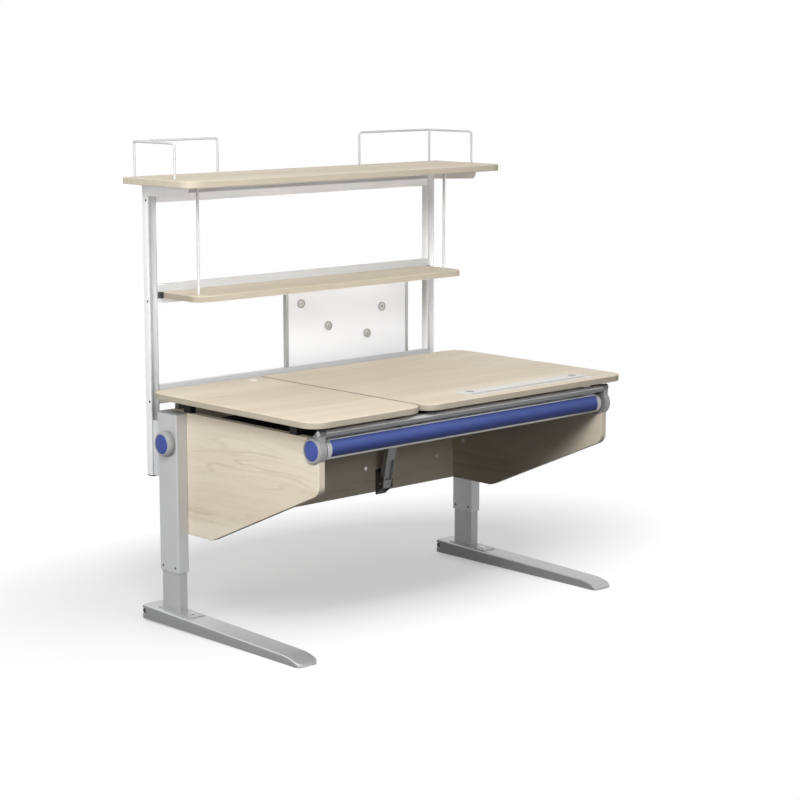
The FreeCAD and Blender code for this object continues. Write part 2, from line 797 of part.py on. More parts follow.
def hinges():
    brackets = []
    pins = []
    leaves = []
    for number, middle in enumerate(("split_right + hinge_end", "half_width - hinge_end"), 1):
        tag = "_%d" % number
        low = middle + " - hinge_width / 2"
        inner = middle + " - knuckle_length / 2"
        bore = rod("hinge_bore" + tag, "hinge_pin + pin_fit", "hinge_width + 2 * overrun", low + " - overrun",
                   "hinge_y", "hinge_z", along_x)
        foot = box("hinge_foot" + tag, "knuckle_length", "hinge_y - back_front", "hinge_z - cross_high",
                   inner, "back_front", "cross_high")
        knuckle = rod("hinge_knuckle" + tag, "knuckle_radius", "knuckle_length", inner, "hinge_y", "hinge_z",
                      along_x)
        brackets.append(cut("hinge_bracket" + tag, fuse("hinge_base" + tag, foot, knuckle), bore))
        pins.append(rod("hinge_pin" + tag, "hinge_pin", "hinge_width", low, "hinge_y", "hinge_z", along_x))
        leaf = box("hinge_leaf" + tag, "hinge_width", "hinge_reach + knuckle_radius", "hinge_leaf", low,
                   "hinge_y - hinge_reach", "under_top - hinge_leaf")
        cheek = box("hinge_cheek" + tag, "hinge_width", "2 * knuckle_radius", "hinge_drop", low,
                    "hinge_y - knuckle_radius", "hinge_z")
        barrel = rod("hinge_barrel" + tag, "knuckle_radius", "hinge_width", low, "hinge_y", "hinge_z",
                     along_x)
        room = box("hinge_room" + tag, "knuckle_length + 2 * run_gap",
                   "hinge_reach + 2 * knuckle_radius + overrun",
                   "hinge_drop + 2 * knuckle_radius - hinge_leaf", inner + " - run_gap",
                   "hinge_y - hinge_reach", "hinge_z - 2 * knuckle_radius")
        leaves.append(cut("hinge_flap" + tag, fuse("hinge_blank" + tag, leaf, cheek, barrel), room, bore))
    node(group("hinge_brackets", brackets))
    pins.append(rod("strut_pin", "pivot_radius", "strut_width + 2 * run_gap + 2 * ear_thick",
                    "strut_side - strut_width / 2 - run_gap - ear_thick", "strut_foot_y", "strut_foot_z",
                    along_x))
    node(group("pivot_pins", pins))
    node(group("hinge_leaves", leaves))


# Telescopic strut that follows the tilting top, built upright from its lower pivot and then leant forward.
def strut():
    lean = FreeCAD.Rotation(FreeCAD.Vector(1, 0, 0), 1)

    def tilt(piece):
        place(piece, "strut_side", "strut_foot_y", "strut_foot_z", lean)
        return bind(piece, **{"Placement.Rotation.Angle": "strut_lean"})

    plate_low = "panel_bottom + strut_foot_rise - ear_drop"
    tall = "ear_drop + ear_rise"
    half = "(strut_width / 2 + run_gap)"
    mount = box("strut_mount", "2 * (%s + ear_thick)" % half, "ear_thick", tall,
                "strut_side - %s - ear_thick" % half, "back_front - ear_thick", plate_low)
    ears = []
    for number, start in enumerate(("strut_side - %s - ear_thick" % half, "strut_side + " + half), 1):
        ears.append(plate("strut_ear_%d" % number, "YZ_Plane", (
            ("back_front", plate_low),
            ("back_front", "%s + %s" % (plate_low, tall)),
            ("strut_foot_y - ear_round", "strut_foot_z + ear_round"),
            ("strut_foot_y - ear_round", "strut_foot_z - ear_round"),
        ), "ear_thick", start))
    bore = rod("strut_mount_bore", "pivot_radius + pin_fit", "strut_width + 4 * ear_thick",
               "strut_side - strut_width / 2 - 2 * ear_thick", "strut_foot_y", "strut_foot_z", along_x)
    node(cut("strut_bracket", fuse("strut_bracket_blank", mount, *ears), bore))

    block = box("strut_block", "strut_width", "strut_depth", "strut_tube + strut_end", "-strut_width / 2",
                "-strut_depth / 2", "-strut_end")
    slot = box("strut_slot", "rod_width + 2 * run_gap", "rod_thick + 2 * run_gap",
               "rod_engage + 2 * overrun", "-rod_width / 2 - run_gap", "-rod_thick / 2 - run_gap",
               "strut_tube - rod_engage - overrun")
    channel = box("strut_channel", "strut_width - 2 * strut_wall", "strut_depth / 2",
                  "strut_tube - rod_engage - 2 * strut_end", "strut_wall - strut_width / 2",
                  "-strut_depth / 2 - strut_wall", "strut_end")
    pivot = rod("strut_pivot_bore", "pivot_radius + pin_fit", "strut_width + 2 * overrun",
                "-strut_width / 2 - overrun", turn=along_x)
    node(tilt(cut("strut_tube_body", block, slot, channel, pivot)))

    stem = box("strut_stem", "rod_width", "rod_thick", "strut_length - strut_tube + rod_engage",
               "-rod_width / 2", "-rod_thick / 2", "strut_tube - rod_engage")
    eye = rod("strut_eye", "eye_radius", "rod_width", "-rod_width / 2", "0", "strut_length", along_x)
    hole = rod("strut_eye_hole", "pivot_radius + pivot_play", "rod_width + 2 * overrun",
               "-rod_width / 2 - overrun", "0", "strut_length", along_x)
    node(tilt(cut("strut_rod", fuse("strut_rod_blank", stem, eye), hole)))

    # The head stud hangs under the right top, with its pin through the rod's eye.
    reach = "(rod_width / 2 + run_gap)"
    cheeks = [box("strut_cheek_%d" % number, "ear_thick", "2 * eye_radius",
                  "strut_stud_drop - ear_thick + pivot_radius", start, "strut_head_y - eye_radius",
                  "strut_head_z - pivot_radius")
              for number, start in enumerate(("strut_side - %s - ear_thick" % reach,
                                              "strut_side + " + reach), 1)]
    head = box("strut_head", "2 * (%s + ear_thick)" % reach, "4 * eye_radius", "ear_thick",
               "strut_side - %s - ear_thick" % reach, "strut_head_y - 2 * eye_radius",
               "under_top - ear_thick")
    pin = rod("strut_head_pin", "pivot_radius", "2 * (%s + ear_thick)" % reach,
              "strut_side - %s - ear_thick" % reach, "strut_head_y", "strut_head_z", along_x)
    node(fuse("strut_stud", head, pin, *cheeks))


# Drawer: a tray on two slides behind a round front bar with a coloured inlay.
def drawer():
    tube = rod("bar_tube", "bar_radius", "2 * bar_half", "-bar_half", "bar_y", "bar_z", along_x)
    bore = rod("bar_bore_rod", "bar_bore", "2 * bar_half + 2 * overrun", "-bar_half - overrun", "bar_y",
               "bar_z", along_x)
    flat = box("bar_flat_cut", "2 * bar_half + 2 * overrun", "bar_radius", "4 * bar_radius",
               "-bar_half - overrun", "bar_y + bar_flat", "bar_z - 2 * bar_radius")
    bed = curved_strip("bar_bed", "bar_radius + overrun")
    node(cut("drawer_bar", tube, bore, flat, bed))
    node(curved_strip("drawer_inlay", "bar_radius - inlay_recess"))

    shell = box("tray_shell", "2 * tray_half", "tray_depth", "tray_tall", "-tray_half", "tray_front",
                "tray_low")
    inside = box("tray_inside", "2 * (tray_half - tray_wall)", "tray_depth - 2 * tray_wall",
                 "tray_tall - tray_wall + overrun", "tray_wall - tray_half", "tray_front + tray_wall",
                 "tray_low + tray_wall")
    node(cut("drawer_tray", shell, inside))

    channel = box("runner_channel", "runner_depth", "runner_length", "runner_tall", "-panel_inner",
                  "tray_front", "runner_low")
    groove = box("runner_groove", "runner_depth", "runner_length + 2 * overrun",
                 "runner_tall - 2 * runner_wall", "runner_wall - panel_inner", "tray_front - overrun",
                 "runner_low + runner_wall")
    node(pair("drawer_runners", cut("drawer_runner", channel, groove)))
    slide = box("drawer_slide", "runner_depth - runner_wall", "slide_length",
                "runner_tall - 2 * (runner_wall + run_gap)", "runner_wall + run_gap - panel_inner",
                "tray_front", "runner_low + runner_wall + run_gap")
    node(pair("drawer_slides", slide))


# A curved strip along the front of the bar, from below its middle to above it.
def curved_strip(name, outer):
    wedge = rod(name + "_wedge", outer, "2 * inlay_half", turn=FreeCAD.Rotation(FreeCAD.Vector(0, 0, 1), 1))
    bind(wedge, Angle="inlay_span")
    bind(wedge, **{"Placement.Rotation.Angle": "-inlay_low"})
    core = rod(name + "_core", "inlay_bed", "2 * inlay_half + 2 * overrun", z="-overrun")
    facing_front = FreeCAD.Rotation(FreeCAD.Vector(0, -1, 0), FreeCAD.Vector(0, 0, 1),
                                    FreeCAD.Vector(-1, 0, 0))
    return place(cut(name, wedge, core), "inlay_half", "bar_y", "bar_z", facing_front)


# Hutch frame

def hutch_frame():
    post = square_tube("upright_left", "upright_width", "upright_depth", "upright_wall",
                       "(shelf_low - upright_low)", "upright_round", "-upright_outer", "upright_front",
                       "upright_low")
    node(mirror("upright_right", node(post)))
    caps = [
        plate("leg_cap", "XY_Plane", rectangle("0", "leg_width", "0", "leg_depth"), "leg_cap",
              "-leg_outer", "leg_front", "leg_head", rounds=all_corners("leg_round")),
        plate("upright_cap", "XY_Plane", rectangle("0", "upright_width", "0", "upright_depth"), "upright_cap",
              "-upright_outer", "upright_front", "upright_low - upright_cap",
              rounds=all_corners("upright_round")),
    ]
    node(group("tube_caps", caps + [mirror(cap.Name + "_right", cap) for cap in caps]))
    for name, high in (("top", "shelf_low"), ("middle", "mid_rail_top"), ("low", "low_rail_top")):
        rail = box("rail_%s_shell" % name, "2 * upright_inner", "cross_rail_thick", "cross_rail_tall",
                   "-upright_inner", "upright_front", high + " - cross_rail_tall")
        hollow = box("rail_%s_hollow" % name, "2 * (upright_inner + overrun)",
                     "cross_rail_thick - 2 * cross_rail_wall", "cross_rail_tall - 2 * cross_rail_wall",
                     "-upright_inner - overrun", "upright_front + cross_rail_wall",
                     high + " - cross_rail_tall + cross_rail_wall")
        node(cut("hutch_rail_" + name, rail, hollow))

    low = "desk_height - carrier_drop - carrier_tall"
    side = "carrier_inset - upright_outer"
    web = box("carrier_web", "carrier_sheet", "upright_front - back_rear", "carrier_tall", side,
              "back_rear", low)
    flanges = [box("carrier_flange_%d" % number, "carrier_flange", "carrier_sheet", "carrier_tall", side,
                   start, low)
               for number, start in enumerate(("back_rear", "upright_front - carrier_sheet"), 1)]
    node(pair("hutch_carriers", fuse("hutch_carrier", web, *flanges)))


# Shelves

def shelves():
    node(plate("top_shelf", "XY_Plane", rectangle("-half_width", "half_width", "shelf_front", "shelf_back"),
               "shelf_thick", z="shelf_low", rounds={0: "shelf_corner", 1: "shelf_corner"},
               soft=("top_edge", (0, 1, 2, 3))))
    node(plate("lower_shelf", "XY_Plane",
               rectangle("-lower_width / 2", "lower_width / 2", "lower_front", "upright_front"),
               "lower_thick", z="lower_low", rounds={0: "lower_corner", 1: "lower_corner"},
               soft=("top_edge", (0, 1, 3))))
    arm = plate("shelf_arm", "YZ_Plane", (
        ("upright_front", "shelf_low"),
        ("upright_front - arm_length", "shelf_low"),
        ("upright_front - arm_length", "shelf_low - arm_tip"),
        ("upright_front", "shelf_low - arm_tall"),
    ), "arm_thick", "-upright_outer", rounds={2: "arm_round"})
    node(pair("shelf_arms", arm))
    hanger = rod("hanger", "hanger_radius", "shelf_low - lower_top", "hanger_inset - lower_width / 2",
                 "lower_front + hanger_setback", "lower_top")
    node(pair("shelf_hangers", hanger))
    clip = box("shelf_clip", "upright_inner - lower_width / 2", "clip_depth", "lower_thick", "-upright_inner",
               "upright_front - clip_depth", "lower_low")
    node(pair("shelf_clips", clip))


# One bent wire with posts at both ends and a third post under its corner.
def guards():
    size = {name: sheet.get(name) for name in sizes if name.startswith("guard")}
    reach = size["guard_reach"]
    length = size["guard_length"]
    height = size["guard_height"]
    wire = size["guard_wire"]
    points = [FreeCAD.Vector(0, -reach, 0), FreeCAD.Vector(0, -reach, height), FreeCAD.Vector(0, 0, height),
              FreeCAD.Vector(length, 0, height), FreeCAD.Vector(length, 0, 0)]
    bends = (size["guard_bend"], size["guard_corner"], size["guard_bend"])
    arc_share = 1 - 0.5 ** 0.5
    edges = []
    start = points[0]
    for before, corner, after, bend in zip(points, points[1:], points[2:], bends):
        back = (before - corner).normalize() * bend
        ahead = (after - corner).normalize() * bend
        middle = corner + (back + ahead) * arc_share
        edges.append(Part.LineSegment(start, corner + back).toShape())
        edges.append(Part.Arc(corner + back, middle, corner + ahead).toShape())
        start = corner + ahead
    edges.append(Part.LineSegment(start, points[-1]).toShape())
    ring = Part.Wire(Part.Circle(points[0], FreeCAD.Vector(0, 0, 1), wire).toShape())
    shell = Part.Wire(edges).makePipeShell([ring], True, False)
    inset = size["guard_corner"] * arc_share
    post = Part.makeCylinder(wire, height - wire / 2, FreeCAD.Vector(inset, -inset, 0))
    guard = doc.addObject("Part::Feature", "wire_guard")
    guard.Shape = shell.fuse(post)
    place(guard, "guard_side_inset - half_width", "shelf_back - guard_back_inset", "shelf_top")
    node(pair("wire_guards", guard))


# Magnet board

def board():
    node(box("board_panel", "board_width", "board_sheet", "board_tall", "board_left",
             "upright_front + board_recess", "board_low"))
    node(group("board_edges", [
        box("board_edge_%d" % number, "board_edge", "board_edge_depth", "board_tall", start, "upright_front",
            "board_low")
        for number, start in enumerate(("board_left - board_edge", "board_left + board_width"), 1)]))
    hooks = []
    for side, start in (("left", "board_left + hook_inset - hook_width / 2"),
                        ("right", "board_left + board_width - hook_inset - hook_width / 2")):
        high = "board_low + board_tall - hook_grip"
        for end, low, lip in (("top", high, high), ("low", "board_low", "board_low - hook_grip")):
            tag = "_%s_%s" % (end, side)
            arm = box("hook_arm" + tag, "hook_width", "hook_back + hook_sheet - board_back", "hook_grip",
                      start, "board_back", low)
            tongue = box("hook_tongue" + tag, "hook_width", "hook_sheet", "2 * hook_grip", start,
                         "hook_back", lip)
            hooks.append(fuse("board_hook" + tag, arm, tongue))
    node(group("board_hooks", hooks))
    node(group("board_magnets", [
        rod("magnet_%d" % number, "magnet_radius", "magnet_thick", "board_left + board_width * %g" % across,
            "upright_front + board_recess - magnet_thick", "board_low + board_tall * %g" % up, along_y)
        for number, (across, up) in enumerate(magnet_shares, 1)]))


# Screw heads that show on the frame

def screws():
    heads = []
    for tag, inset in (("front", "leg_front + leg_screw_inset"), ("back", "leg_rear - leg_screw_inset")):
        for face, start in (("outer", "-leg_outer - screw_head"), ("inner", "leg_width - leg_outer")):
            heads.append(rod("leg_screw_%s_%s" % (tag, face), "screw_radius", "screw_head", start, inset,
                             "leg_end + leg_screw_rise", along_x))
    for tag, high in (("top", "shelf_low"), ("middle", "mid_rail_top"), ("low", "low_rail_top")):
        heads.append(rod("rail_screw_" + tag, "screw_radius", "screw_head", "-upright_outer - screw_head",
                         "upright_front + cross_rail_thick / 2",
                         high + " - cross_rail_tall + rail_screw_rise", along_x))
    heads.append(rod("lug_screw", "lug_screw_radius", "screw_head", "-panel_outer - screw_head", "lug_y",
                     "lug_z", along_x))
    node(group("frame_screws", heads + [mirror(head.Name + "_right", head) for head in heads]))


for make in (feet, legs, knobs, panels, housings, inner_frame, tops, hinges, strut, drawer, hutch_frame,
             shelves, guards, board, screws):
    make()
doc.recompute()

faults = [piece.Name for piece in doc.Objects if "Invalid" in piece.State or "Error" in piece.State]
faults += [piece.Name for piece in nodes if piece.Shape.isNull() or not piece.Shape.isValid()]
if faults:
    raise RuntimeError("these pieces failed: " + ", ".join(faults))

os.makedirs("parts", exist_ok=True)
for piece in nodes:
    piece.Shape.exportStep("parts/%s.step" % piece.Label)
print("%d sub-parts written" % len(nodes))
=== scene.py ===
import json
import math

import bmesh
import bpy
from mathutils import Matrix, Vector

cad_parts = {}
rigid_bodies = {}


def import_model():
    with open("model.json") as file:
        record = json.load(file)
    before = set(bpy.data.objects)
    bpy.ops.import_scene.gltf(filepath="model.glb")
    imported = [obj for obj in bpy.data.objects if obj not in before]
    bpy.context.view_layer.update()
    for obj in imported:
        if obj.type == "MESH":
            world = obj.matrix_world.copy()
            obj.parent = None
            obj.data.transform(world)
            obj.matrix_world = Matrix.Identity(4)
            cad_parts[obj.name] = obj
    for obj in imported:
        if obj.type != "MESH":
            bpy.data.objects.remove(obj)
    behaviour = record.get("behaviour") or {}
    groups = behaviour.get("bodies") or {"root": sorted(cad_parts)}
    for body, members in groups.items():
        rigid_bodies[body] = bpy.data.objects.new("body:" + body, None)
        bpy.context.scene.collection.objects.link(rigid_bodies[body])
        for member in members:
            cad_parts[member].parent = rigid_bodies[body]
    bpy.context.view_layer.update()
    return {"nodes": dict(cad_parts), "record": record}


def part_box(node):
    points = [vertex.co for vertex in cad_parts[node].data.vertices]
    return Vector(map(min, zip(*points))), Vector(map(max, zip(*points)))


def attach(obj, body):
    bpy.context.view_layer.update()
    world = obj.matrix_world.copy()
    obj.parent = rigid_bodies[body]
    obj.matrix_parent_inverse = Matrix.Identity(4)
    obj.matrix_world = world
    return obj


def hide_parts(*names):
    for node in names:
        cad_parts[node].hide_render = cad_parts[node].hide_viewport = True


for leftover in list(bpy.data.objects):  # an empty scene before the frame comes in
    bpy.data.objects.remove(leftover)

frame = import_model()
nodes = frame["nodes"]
bodyOf = {}
for bodyName, members in frame["record"]["behaviour"]["bodies"].items():
    for member in members:
        bodyOf[member] = bodyName
slotOf = {part["node"]: part["material_slot"] for part in frame["record"]["subparts"]}
print("frame loaded:", len(nodes), "nodes")


# small helpers for node trees
def put(tree, kind, settings=None, **sockets):
    node = tree.nodes.new(kind)
    for key, value in (settings or {}).items():
        setattr(node, key, value)
    for key, value in sockets.items():
        node.inputs[key].default_value = value
    return node


def startMaterial(name):
    material = bpy.data.materials.new(name)
    material.use_nodes = True
    tree = material.node_tree
    return material, tree, tree.nodes["Principled BSDF"]


def stretched(tree, scale=(1, 1, 1), output="Object", shift=(0, 0, 0)):
    coords = put(tree, "ShaderNodeTexCoord")
    mapping = put(tree, "ShaderNodeMapping", Scale=scale, Location=shift)
    tree.links.new(coords.outputs[output], mapping.inputs["Vector"])
    return mapping.outputs["Vector"]


def noise(tree, vector, scale, detail, roughness, output="Fac"):
    texture = put(tree, "ShaderNodeTexNoise", Scale=scale, Detail=detail, Roughness=roughness)
    tree.links.new(vector, texture.inputs["Vector"])
    return texture.outputs[output]


def spread(tree, value, low, high, fromLow=0.0, fromHigh=1.0):
    ranger = put(tree, "ShaderNodeMapRange", {"clamp": True})
    ranger.inputs["From Min"].default_value = fromLow
    ranger.inputs["From Max"].default_value = fromHigh
    ranger.inputs["To Min"].default_value = low
    ranger.inputs["To Max"].default_value = high
    tree.links.new(value, ranger.inputs["Value"])
    return ranger.outputs["Result"]


def sums(tree, operation, first, second):
    node = put(tree, "ShaderNodeMath", {"operation": operation})
    for socket, value in zip(node.inputs, (first, second)):
        if isinstance(value, (int, float)):
            socket.default_value = value
        else:
            tree.links.new(value, socket)
    return node.outputs[0]


def vectorSums(tree, operation, first, second):
    node = put(tree, "ShaderNodeVectorMath", {"operation": operation})
    tree.links.new(first, node.inputs[0])
    if isinstance(second, tuple):
        node.inputs[1].default_value = second
    else:
        tree.links.new(second, node.inputs[1])
    return node.outputs["Vector"]


def partsOf(tree, vector):
    node = put(tree, "ShaderNodeSeparateXYZ")
    tree.links.new(vector, node.inputs[0])
    return node.outputs


# the mix node keeps its colours in sockets 6 and 7 and the result in 2
def blendColour(tree, factor, first, second, mode="MIX"):
    node = put(tree, "ShaderNodeMix", {"data_type": "RGBA", "blend_type": mode})
    for socket, value in ((node.inputs[0], factor), (node.inputs[6], first), (node.inputs[7], second)):
        if isinstance(value, (int, float)):
            socket.default_value = value
        elif isinstance(value, tuple):
            socket.default_value = (*value, 1)
        else:
            tree.links.new(value, socket)
    return node.outputs[2]


def bumpFrom(tree, shader, height, strength, distance):
    bump = put(tree, "ShaderNodeBump", Strength=strength, Distance=distance)
    tree.links.new(height, bump.inputs["Height"])
    tree.links.new(bump.outputs["Normal"], shader.inputs["Normal"])


def mixShaders(tree, factor, first, second):
    node = put(tree, "ShaderNodeMixShader")
    for socket, value in zip(node.inputs, (factor, first, second)):
        tree.links.new(value, socket)
    return node.outputs[0]


# one for what the camera, a reflection or a clear piece sees, nought for the light that bounces
def seenRays(tree):
    rays = put(tree, "ShaderNodeLightPath")
    seen = sums(tree, "MAXIMUM", rays.outputs["Is Camera Ray"], rays.outputs["Is Glossy Ray"])
    return sums(tree, "MAXIMUM", seen, rays.outputs["Is Transmission Ray"])


# pale maple, with the grain along one axis of the board and a band glued round its edge
mapleTop = {"light": (0.735, 0.660, 0.545), "dark": (0.625, 0.545, 0.425), "line": (0.400, 0.315, 0.215),
            "edge": (0.450, 0.400, 0.320), "lineShare": 0.22, "lineCount": 5.0, "roughness": 0.56}
maplePanel = {"light": (0.775, 0.705, 0.585), "dark": (0.665, 0.585, 0.455), "line": (0.420, 0.330, 0.225),
              "edge": (0.700, 0.635, 0.520), "lineShare": 0.42, "lineCount": 5.5, "roughness": 0.60}
mapleShelf = {"light": (0.755, 0.685, 0.562), "dark": (0.645, 0.565, 0.434), "line": (0.410, 0.320, 0.215),
              "edge": (0.595, 0.530, 0.425), "lineShare": 0.24, "lineCount": 5.0, "roughness": 0.56}
# painted shade: the lower shelf's edge band is a darker copy of the shelf's
mapleLowShadedEdge = {**mapleShelf, "edge": (0.425, 0.378, 0.300)}
# painted shade on the rims on both sides of the split between the tops, darkest next to the gap
paintedSplitShade = {"colour": (0.300, 0.250, 0.185), "reach": (0.0024, 0.0048)}

# layers of the figure: stretch along and across the grain; scale, detail and roughness of the noise; the
# range that it is spread to, with the range that it is taken from
mapleLayers = {
    "planks": {"stretch": (0.35, 7.5), "noise": (1.7, 2.0, 0.45), "range": (0.0, 0.66, 0.34, 0.66)},
    "streaks": {"stretch": (1.2, 60.0), "noise": (1.5, 3.0, 0.55), "range": (0.0, 0.34, 0.30, 0.72)},
    "fibres": {"stretch": (14.0, 900.0), "noise": (1.0, 2.0, 0.6)},
    "broadLines": {"stretch": (1.1, 13.0), "noise": (1.5, 4.0, 0.42), "range": (0.0, 1.0, 0.74, 1.0)},
    "fineLines": {"stretch": (1.9, 26.0), "noise": (1.5, 4.0, 0.42), "range": (0.0, 1.0, 0.80, 1.0)},
    "patches": {"stretch": (0.9, 5.5), "noise": (2.1, 3.0, 0.55), "range": (0.08, 1.0, 0.44, 0.66)},
    "pores": {"stretch": (45.0, 1300.0), "noise": (1.0, 1.0, 0.5), "range": (0.16, 0.0, 0.26, 0.40)},
    "band": {"stretch": (3.0, 40.0), "noise": (2.0, 3.0, 0.5), "range": (0.90, 1.06, 0.0, 1.0)},
}
mapleGrain = {"wander": 0.075, "wanderStretch": (0.9, 2.4), "wanderNoise": (2.3, 1.5, 0.5),
              "fineCount": 1.2, "broadShare": 0.75, "fineShare": 0.35, "bandFrom": (0.35, 0.62),
              "roughDrift": (-0.05, 0.09), "fibreRise": 0.6, "lineSink": 0.9, "bump": (0.10, 0.0006),
              "specular": 0.20}


def mapleFinish(name, look, grain, face, shift, joint=None):
    material, tree, shader = startMaterial(name)
    link = tree.links.new

    def along(fine, cross):
        return tuple(fine if axis == grain else cross for axis in range(3))

    # slow wander of the grain
    slow = stretched(tree, along(*mapleGrain["wanderStretch"]), shift=shift)
    drift = noise(tree, slow, *mapleGrain["wanderNoise"], output="Color")
    centred = vectorSums(tree, "SUBTRACT", drift, (0.5, 0.5, 0.5))
    wander = vectorSums(tree, "MULTIPLY", centred, (mapleGrain["wander"],) * 3)
    coords = put(tree, "ShaderNodeTexCoord")
    wandering = vectorSums(tree, "ADD", coords.outputs["Object"], wander)

    def field(layer):
        mapping = put(tree, "ShaderNodeMapping", Scale=along(*layer["stretch"]), Location=shift)
        link(wandering, mapping.inputs["Vector"])
        return noise(tree, mapping.outputs["Vector"], *layer["noise"])

    def toned(layer):
        return spread(tree, field(layer), *layer["range"])

    # growth lines: contours of long soft fields, so that they run and wave along the grain
    def contours(layer, count):
        turns = sums(tree, "MULTIPLY", field(layer), count * 2 * math.pi)
        return spread(tree, sums(tree, "SINE", turns, 0.0), *layer["range"])

    tone = sums(tree, "ADD", toned(mapleLayers["planks"]), toned(mapleLayers["streaks"]))
    base = blendColour(tree, tone, look["light"], look["dark"])
    broad = contours(mapleLayers["broadLines"], look["lineCount"])
    fine = contours(mapleLayers["fineLines"], look["lineCount"] * mapleGrain["fineCount"])
    lines = sums(tree, "ADD", sums(tree, "MULTIPLY", broad, mapleGrain["broadShare"]),
                 sums(tree, "MULTIPLY", fine, mapleGrain["fineShare"]))
    lines = sums(tree, "MULTIPLY", lines, toned(mapleLayers["patches"]))
    lines = sums(tree, "MULTIPLY", lines, look["lineShare"])
    base = blendColour(tree, lines, base, look["line"])
    base = blendColour(tree, toned(mapleLayers["pores"]), base, look["line"])
    # the band is plainer and turns with the board's own normal
    facing = sums(tree, "ABSOLUTE", partsOf(tree, coords.outputs["Normal"])[face], 0.0)
    band = spread(tree, facing, 1.0, 0.0, *mapleGrain["bandFrom"])
    bandColour = blendColour(tree, 1.0, look["edge"], toned(mapleLayers["band"]), "MULTIPLY")
    colour = blendColour(tree, band, base, bandColour)
    # painted shade: the rims beside the split darken towards it
    if joint is not None:
        place = partsOf(tree, coords.outputs["Object"])["X"]
        apart = sums(tree, "ABSOLUTE", sums(tree, "SUBTRACT", place, joint), 0.0)
        rim = spread(tree, apart, 1.0, 0.0, *paintedSplitShade["reach"])
        colour = blendColour(tree, rim, colour, paintedSplitShade["colour"])
    link(colour, shader.inputs["Base Color"])
    fibres = field(mapleLayers["fibres"])
    smooth, coarse = (look["roughness"] + part for part in mapleGrain["roughDrift"])
    link(spread(tree, fibres, smooth, coarse), shader.inputs["Roughness"])
    height = sums(tree, "SUBTRACT", sums(tree, "MULTIPLY", fibres, mapleGrain["fibreRise"]),
                  sums(tree, "MULTIPLY", lines, mapleGrain["lineSink"]))
    bumpFrom(tree, shader, height, *mapleGrain["bump"])
    shader.inputs["Specular IOR Level"].default_value = mapleGrain["specular"]
    return material


# painted, moulded and plated finishes share one build: tone drift, grain of the coat, fine rub marks, and
# bands of painted shade and painted highlight
coatBase = {"cloudStretch": (1, 1, 1), "rubStretch": (6, 60, 6), "drift": 0.94, "speckle": 1.06,
            "speckleShare": 0.5, "paintedBands": (), "rub": 0.06, "bump": 0.06, "bumpDepth": 0.0003,
            "metallic": 0.0, "specular": 0.5, "coat": 0.0, "coatRoughness": 0.2, "alpha": 1.0}
coatGrain = {"cloudNoise": (5.0, 3.0, 0.55), "cloudFrom": (0.3, 0.7), "grainNoise": (2.0, 0.6),
             "grainFrom": (0.48, 0.72), "rubNoise": (9.0, 4.0, 0.65), "rubFrom": (0.52, 0.75),
             "roughDrift": 0.03, "endFrom": (0.3, 0.6)}
coatSockets = {"Metallic": "metallic", "Specular IOR Level": "specular", "Coat Weight": "coat",
               "Coat Roughness": "coatRoughness", "Alpha": "alpha"}


def coatFinish(name, own):
    look = {**coatBase, **own}
    material, tree, shader = startMaterial(name)
    link = tree.links.new
    cloud = noise(tree, stretched(tree, look["cloudStretch"]), *coatGrain["cloudNoise"])
    grain = noise(tree, stretched(tree), look["grain"], *coatGrain["grainNoise"])
    rub = noise(tree, stretched(tree, look["rubStretch"]), *coatGrain["rubNoise"])
    deep = tuple(part * look["drift"] for part in look["colour"])
    clouds = spread(tree, cloud, 0.0, 1.0, *coatGrain["cloudFrom"])
    colour = blendColour(tree, clouds, look["colour"], deep)
    speck = tuple(min(1.0, part * look["speckle"]) for part in look["colour"])
    specks = spread(tree, grain, 0.0, look["speckleShare"], *coatGrain["grainFrom"])
    colour = blendColour(tree, specks, colour, speck)
    # a painted band across the piece, darker for painted shade and paler for painted highlight: its axis,
    # middle, half width, where it has faded, and colour
    for axis, middle, full, end, paintedTone in look["paintedBands"]:
        place = sums(tree, "ABSOLUTE", partsOf(tree, stretched(tree))[axis], 0.0)
        apart = sums(tree, "ABSOLUTE", sums(tree, "SUBTRACT", place, middle), 0.0)
        share = spread(tree, apart, 1.0, 0.0, full, end)
        if axis == "X":  # runs round the piece and leaves its flat ends out
            flat = sums(tree, "ABSOLUTE", partsOf(tree, stretched(tree, output="Normal"))["X"], 0.0)
            share = sums(tree, "MULTIPLY", share, spread(tree, flat, 1.0, 0.0, *coatGrain["endFrom"]))
        colour = blendColour(tree, share, colour, paintedTone)
    link(colour, shader.inputs["Base Color"])
    sway = coatGrain["roughDrift"]
    rough = spread(tree, cloud, -sway, sway, *coatGrain["cloudFrom"])
    rough = sums(tree, "ADD", rough, look["roughness"])
    rough = sums(tree, "ADD", rough, spread(tree, rub, 0.0, look["rub"], *coatGrain["rubFrom"]))
    link(rough, shader.inputs["Roughness"])
    bumpFrom(tree, shader, grain, look["bump"], look["bumpDepth"])
    for socket, key in coatSockets.items():
        shader.inputs[socket].default_value = look[key]
    return material


# where the painted bands lie: edges of the blue inlay (painted shade), crowns of the bar and of the front
# rail (painted highlight), shade line of the hutch's top rail, seam and crown of the end housings (painted
# shade)
bandLook = {"inlaySink": 0.0004, "railSink": 0.0012, "shadeLineSink": 0.0003, "housingRise": 0.0050}
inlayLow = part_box("drawer_inlay")[0].z - bandLook["inlaySink"]
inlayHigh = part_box("drawer_inlay")[1].z
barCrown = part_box("drawer_bar")[1].z
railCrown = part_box("front_rail")[1].z - bandLook["railSink"]
topRailShadeLine = sum(corner.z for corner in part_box("hutch_rail_top")) / 2 - bandLook["shadeLineSink"]
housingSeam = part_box("side_panel_right")[0].x
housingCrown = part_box("end_housings")[1].z + bandLook["housingRise"]

